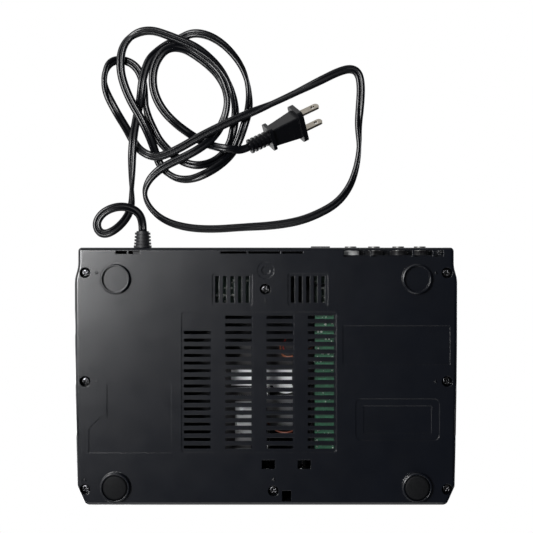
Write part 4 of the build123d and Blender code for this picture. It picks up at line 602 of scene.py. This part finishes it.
def surface(name, colour, rough, metal=0.0, specular=0.5, mottle=0.15, mottle_size=0.012,
            grain=0.0005, depth=0.00002, swing=0.08, edge=0.0, stretch=None, coat=0.0):
    """Plain moulded or metal surface: slow colour drift, uneven gloss and a fine grain."""
    made, tree, shader = nodes_of(name)
    shader.inputs["Metallic"].default_value = metal
    shader.inputs["Specular IOR Level"].default_value = specular
    if coat:
        shader.inputs["Coat Weight"].default_value = coat
        shader.inputs["Coat Roughness"].default_value = COAT_ROUGHNESS
    source = object_place(tree)
    drift = noise(tree, source, 1 / mottle_size, DRIFT_DETAIL)
    tone = mixed(tree, drift, scaled(colour, 1 - mottle), scaled(colour, 1 + mottle))
    tree.links.new(tone, shader.inputs["Base Color"])
    if stretch:
        source = stretched(tree, source, stretch)
    fine = noise(tree, source, 1 / grain, 2.0)
    gloss = noise(tree, source, 1 / (mottle_size * 0.6))
    tree.links.new(mapped(tree, gloss, rough - swing, rough + swing), shader.inputs["Roughness"])
    bumped(tree, shader, fine, depth, rounded_normal(tree, edge) if edge else None)
    return made


def collar_surface():
    """White collar beside the square socket and black ones beyond it."""
    made, tree, shader = nodes_of("socket_collar")
    shader.inputs["Specular IOR Level"].default_value = 0.12
    source = object_place(tree)
    worn = noise(tree, source, 500.0)
    white = mixed(tree, worn, (0.34, 0.34, 0.34), (0.44, 0.44, 0.43))
    black = mixed(tree, worn, (0.008, 0.008, 0.009), (0.014, 0.014, 0.015))
    nearer = mapped(tree, axes(tree, source)["X"], 0.0, 1.0, *WHITE_COLLAR_FROM_X)
    tree.links.new(mixed(tree, nearer, black, white), shader.inputs["Base Color"])
    tree.links.new(mapped(tree, worn, 0.36, 0.50), shader.inputs["Roughness"])
    bumped(tree, shader, worn, 0.00001)
    return made


def plate_surface():
    """Bright zinc under the spindle, with painted shade in black over the rest of the plate."""
    made, tree, shader = nodes_of("motor_plate")
    source = object_place(tree)
    place = axes(tree, source)
    brushed = noise(tree, stretched(tree, source, (1, 9, 1)), 900.0)
    front = mapped(tree, place["Y"], 1.0, 0.0, *UNSHADED_PLATE_TO_Y)
    side = mapped(tree, place["X"], 0.0, 1.0, *UNSHADED_PLATE_FROM_X)
    unshaded = maths(tree, "MULTIPLY", front, side)
    zinc = mixed(tree, brushed, (0.82, 0.83, 0.85), (0.95, 0.96, 0.97))
    # Painted shade: near-black colour over the plate outside the unshaded part
    tree.links.new(mixed(tree, unshaded, (0.008, 0.008, 0.009), zinc), shader.inputs["Base Color"])
    tree.links.new(mapped(tree, unshaded, 0.0, 0.25, 0.0, 1.0), shader.inputs["Metallic"])
    tree.links.new(mapped(tree, brushed, 0.42, 0.52), shader.inputs["Roughness"])
    bumped(tree, shader, brushed, 0.000008)
    return made


def board_surface():
    """Green lacquered laminate with copper runs and tinned joints, with painted shade towards the rear
    edge.
    """
    made, tree, shader = nodes_of("circuit_board")
    source = object_place(tree)
    runs = tree.nodes.new("ShaderNodeTexBrick")
    runs.inputs["Scale"].default_value = 160.0
    runs.inputs["Mortar Size"].default_value = 0.03
    runs.inputs["Color1"].default_value = (0.010, 0.055, 0.028, 1)
    runs.inputs["Color2"].default_value = (0.018, 0.095, 0.048, 1)
    runs.inputs["Mortar"].default_value = (0.006, 0.030, 0.016, 1)
    tree.links.new(source, runs.inputs["Vector"])
    joints = tree.nodes.new("ShaderNodeTexVoronoi")
    joints.inputs["Scale"].default_value = 330.0
    tree.links.new(source, joints.inputs["Vector"])
    dots = mapped(tree, joints.outputs["Distance"], 1.0, 0.0, 0.16, 0.22)
    some = noise(tree, source, 90.0, 1.0)
    tinned = maths(tree, "MULTIPLY", dots, mapped(tree, some, 0.0, 1.0, 0.46, 0.52))
    # Painted shade: the laminate turns near-black towards the rear edge
    rear = mapped(tree, axes(tree, source)["Y"], 0.0, 1.0, *SHADED_BOARD_FROM_Y)
    laminate = mixed(tree, rear, runs.outputs["Color"], (0.004, 0.016, 0.010))
    tree.links.new(mixed(tree, tinned, laminate, (0.55, 0.55, 0.52)), shader.inputs["Base Color"])
    tree.links.new(tinned, shader.inputs["Metallic"])
    tree.links.new(mapped(tree, tinned, 0.38, 0.28, 0.0, 1.0), shader.inputs["Roughness"])
    bumped(tree, shader, tinned, 0.0003)
    return made


# Each material with its colour and its roughness
MATERIALS = {
    "case_plastic": surface("case_plastic", (0.0012, 0.0018, 0.0036), 0.25, mottle=0.25, mottle_size=0.03,
                            grain=0.00045, depth=0.000008, swing=0.012, edge=0.0005),
    "pad_rubber": surface("pad_rubber", (0.0018, 0.0020, 0.0025), 0.62, specular=0.09, mottle=0.25,
                          mottle_size=0.004, grain=0.0006, depth=0.00005, edge=0.0003),
    "inner_plastic": surface("inner_plastic", (0.010, 0.010, 0.012), 0.5, mottle=0.2,
                             mottle_size=0.01, grain=0.0005, depth=0.00002, edge=0.0002),
    "pin_steel": surface("pin_steel", (0.55, 0.56, 0.57), 0.24, metal=1.0, mottle=0.08,
                         mottle_size=0.004, grain=0.0003, depth=0.000004, swing=0.06),
    "button_gloss": surface("button_gloss", (0.012, 0.013, 0.016), 0.24, mottle=0.1, coat=0.5,
                            mottle_size=0.01, grain=0.0009, depth=0.000004, edge=0.0003),
    "panel_gloss": surface("panel_gloss", (0.006, 0.0065, 0.008), 0.16, mottle=0.1, coat=0.8,
                           mottle_size=0.02, grain=0.0012, depth=0.000004, edge=0.0003),
    "window_plastic": surface("window_plastic", (0.006, 0.005, 0.008), 0.10, mottle=0.1, coat=0.8,
                              mottle_size=0.02, grain=0.002, depth=0.000002, edge=0.0002),
    "circuit_board": board_surface(),
    "connector_plastic": surface("connector_plastic", (0.68, 0.64, 0.54), 0.45, mottle=0.08,
                                 mottle_size=0.004, grain=0.0005, depth=0.00001, edge=0.00015),
    "capacitor_sleeve": surface("capacitor_sleeve", (0.020, 0.026, 0.045), 0.32, mottle=0.12,
                                mottle_size=0.004, grain=0.0008, depth=0.000008, edge=0.0003),
    "socket_metal": surface("socket_metal", (0.13, 0.13, 0.127), 0.46, metal=0.8, mottle=0.06,
                            mottle_size=0.003, grain=0.0004, depth=0.000004, edge=0.00015),
    "socket_collar": collar_surface(),
    "transformer_steel": surface("transformer_steel", (0.09, 0.095, 0.10), 0.42, metal=0.7,
                                 mottle=0.2, mottle_size=0.006, grain=0.0006, depth=0.00003,
                                 stretch=(1, 1, 14), edge=0.0003),
    "aluminium_fins": surface("aluminium_fins", (0.52, 0.53, 0.54), 0.36, metal=1.0, mottle=0.07,
                              mottle_size=0.006, grain=0.0009, depth=0.00001, stretch=(8, 1, 1)),
    "bright_steel": surface("bright_steel", (0.86, 0.87, 0.88), 0.50, metal=0.35, mottle=0.08,
                            mottle_size=0.008, grain=0.0010, depth=0.000008, stretch=(1, 9, 1),
                            edge=0.0002),
    "sled_casting": surface("sled_casting", (0.13, 0.135, 0.14), 0.48, metal=0.6, mottle=0.2,
                            mottle_size=0.005, grain=0.0006, depth=0.00004, edge=0.0002),
    "lens_glass": surface("lens_glass", (0.10, 0.13, 0.22), 0.06, specular=0.9, mottle=0.05,
                          mottle_size=0.003, grain=0.001, depth=0.000001, coat=1.0),
    "motor_steel": surface("motor_steel", (0.42, 0.43, 0.44), 0.34, metal=1.0, mottle=0.1,
                           mottle_size=0.006, grain=0.0008, depth=0.00001, edge=0.0002),
    "gear_plastic": surface("gear_plastic", (0.62, 0.61, 0.56), 0.40, mottle=0.05,
                            mottle_size=0.004, grain=0.0006, depth=0.000008, edge=0.0001),
    "cord_plastic": surface("cord_plastic", (0.0018, 0.0020, 0.0028), 0.27, specular=0.28, mottle=0.2,
                            mottle_size=0.08, grain=0.006, depth=0.000001, swing=0.006),
    "motor_plate": plate_surface(),
    "relief_plastic": surface("relief_plastic", (0.006, 0.0062, 0.0075), 0.55, specular=0.3, mottle=0.2,
                              mottle_size=0.006, grain=0.0005, depth=0.00003, swing=0.05),
    "screw_black": surface("screw_black", (0.085, 0.085, 0.09), 0.24, metal=1.0, mottle=0.3,
                           mottle_size=0.002, grain=0.0003, depth=0.000006, swing=0.06),
    "solder": surface("solder", (0.78, 0.78, 0.76), 0.32, metal=0.7, mottle=0.1,
                      mottle_size=0.002, grain=0.0004, depth=0.00001),
    "print_white": surface("print_white", (0.45, 0.46, 0.48), 0.5, mottle=0.08,
                           mottle_size=0.003, grain=0.0004, depth=0.000004),
    "wire_red": surface("wire_red", (0.16, 0.014, 0.010), 0.4, mottle=0.1, mottle_size=0.003),
    "wire_copper": surface("wire_copper", (0.20, 0.055, 0.020), 0.4, mottle=0.1, mottle_size=0.003),
    "wire_brown": surface("wire_brown", (0.12, 0.03, 0.015), 0.4, mottle=0.1, mottle_size=0.003),
    "blade_metal": surface("blade_metal", (0.36, 0.33, 0.28), 0.36, metal=1.0, mottle=0.25,
                           mottle_size=0.004, grain=0.0005, depth=0.00001, edge=0.0003),
}


def dress(thing, material):
    """Give an object one of the materials above."""
    thing.data.materials.clear()
    thing.data.materials.append(MATERIALS[material])


for entry in frame["record"]["subparts"]:
    dress(NODES[entry["node"]], entry["material_slot"])
dress(NODES["strain_relief"], "relief_plastic")
dress(NODES["motor_plate"], "motor_plate")
dress(cord, "cord_plastic")
dress(pads, "pad_rubber")
dress(screws, "screw_black")
dress(marks, "case_plastic")
dress(joints, "solder")
for wire in wires:
    dress(wire, wire.name)
for mark in symbols:
    dress(mark, "print_white")


# Light, world and floor
LAMP_TARGET = (0.0, 0.03, 0.0)
WHITE = (1.0, 1.0, 1.0)
COOL_WHITE = (0.94, 0.96, 1.0)
ROOM_SHADE = (0.20, 0.21, 0.23)
WINDOW_WAY = (0.75, 0.45, 0.35)
WINDOW_LEVEL = 0.75
FLOOR_REACH = 1.1
FLOOR_FADE = (0.35, 1.0)
PAPER = (0.86, 0.86, 0.86, 1)


def lamp(name, place, size, power, colour=WHITE):
    """Square lamp that faces the object."""
    data = bpy.data.lights.new(name, "AREA")
    data.shape = "SQUARE"
    data.size = size
    data.energy = power
    data.color = colour
    holder = bpy.data.objects.new(name, data)
    scene.collection.objects.link(holder)
    holder.location = place
    holder.rotation_euler = (Vector(LAMP_TARGET) - Vector(place)).to_track_quat("-Z", "Y").to_euler()
    holder.visible_camera = False


def make_light():
    """Three lamps for the underside and two for the top."""
    lamp("key_below", (0.71, 0.31, -1.30), 0.60, 37.0)
    lamp("side_below", (1.10, 0.80, -1.05), 1.40, 9.0)
    lamp("front_below", (0.15, -1.20, -0.60), 1.20, 7.0)
    lamp("key_above", (0.8, -0.7, 1.2), 0.9, 16.0)
    lamp("fill_above", (-1.0, 0.3, 1.2), 1.0, 9.0, COOL_WHITE)


def make_world():
    """White behind the object, dim light around it and a brighter side in what reflects."""
    world = bpy.data.worlds.new("world")
    scene.world = world
    world.use_nodes = True
    tree = world.node_tree
    back = tree.nodes["Background"]
    path = tree.nodes.new("ShaderNodeLightPath")
    seen = maths(tree, "MAXIMUM", path.outputs["Is Glossy Ray"], path.outputs["Is Transmission Ray"])
    way = tree.nodes.new("ShaderNodeTexCoord").outputs["Generated"]
    dot = tree.nodes.new("ShaderNodeVectorMath")
    dot.operation = "DOT_PRODUCT"
    dot.inputs[1].default_value = WINDOW_WAY
    tree.links.new(way, dot.inputs[0])
    reflected = mapped(tree, dot.outputs["Value"], 0.03, 1.0, 0.0, WINDOW_LEVEL)
    around = mixed(tree, seen, ROOM_SHADE, reflected)
    final = mixed(tree, path.outputs["Is Camera Ray"], around, WHITE)
    tree.links.new(final, back.inputs["Color"])
    back.inputs["Strength"].default_value = 1.0


def make_floor():
    """Sheet of paper that only the camera sees, from above and near the object."""
    corners = [(x * FLOOR_REACH, y * FLOOR_REACH, 0) for x, y in ((-1, -1), (1, -1), (1, 1), (-1, 1))]
    floor = mesh_object("floor", corners, [(0, 1, 2, 3)], smooth=False, closed=False)
    made = bpy.data.materials.new("floor_paper")
    made.use_nodes = True
    tree = made.node_tree
    tree.nodes.remove(tree.nodes["Principled BSDF"])
    out = tree.nodes["Material Output"]
    paper = tree.nodes.new("ShaderNodeBsdfDiffuse")
    paper.inputs["Color"].default_value = PAPER
    clear = tree.nodes.new("ShaderNodeBsdfTransparent")
    path = tree.nodes.new("ShaderNodeLightPath")
    side = tree.nodes.new("ShaderNodeNewGeometry")
    front = maths(tree, "SUBTRACT", 1.0, side.outputs["Backfacing"])
    seen = maths(tree, "MULTIPLY", path.outputs["Is Camera Ray"], front)
    reach = tree.nodes.new("ShaderNodeVectorMath")
    reach.operation = "LENGTH"
    tree.links.new(object_place(tree), reach.inputs[0])
    near = mapped(tree, reach.outputs["Value"], 1.0, 0.0, *FLOOR_FADE)
    share = maths(tree, "MULTIPLY", seen, near)
    mix = tree.nodes.new("ShaderNodeMixShader")
    tree.links.new(share, mix.inputs["Fac"])
    tree.links.new(clear.outputs[0], mix.inputs[1])
    tree.links.new(paper.outputs[0], mix.inputs[2])
    tree.links.new(mix.outputs[0], out.inputs["Surface"])
    floor.data.materials.append(made)


make_light()
make_world()
make_floor()
scene.view_settings.view_transform = "Standard"
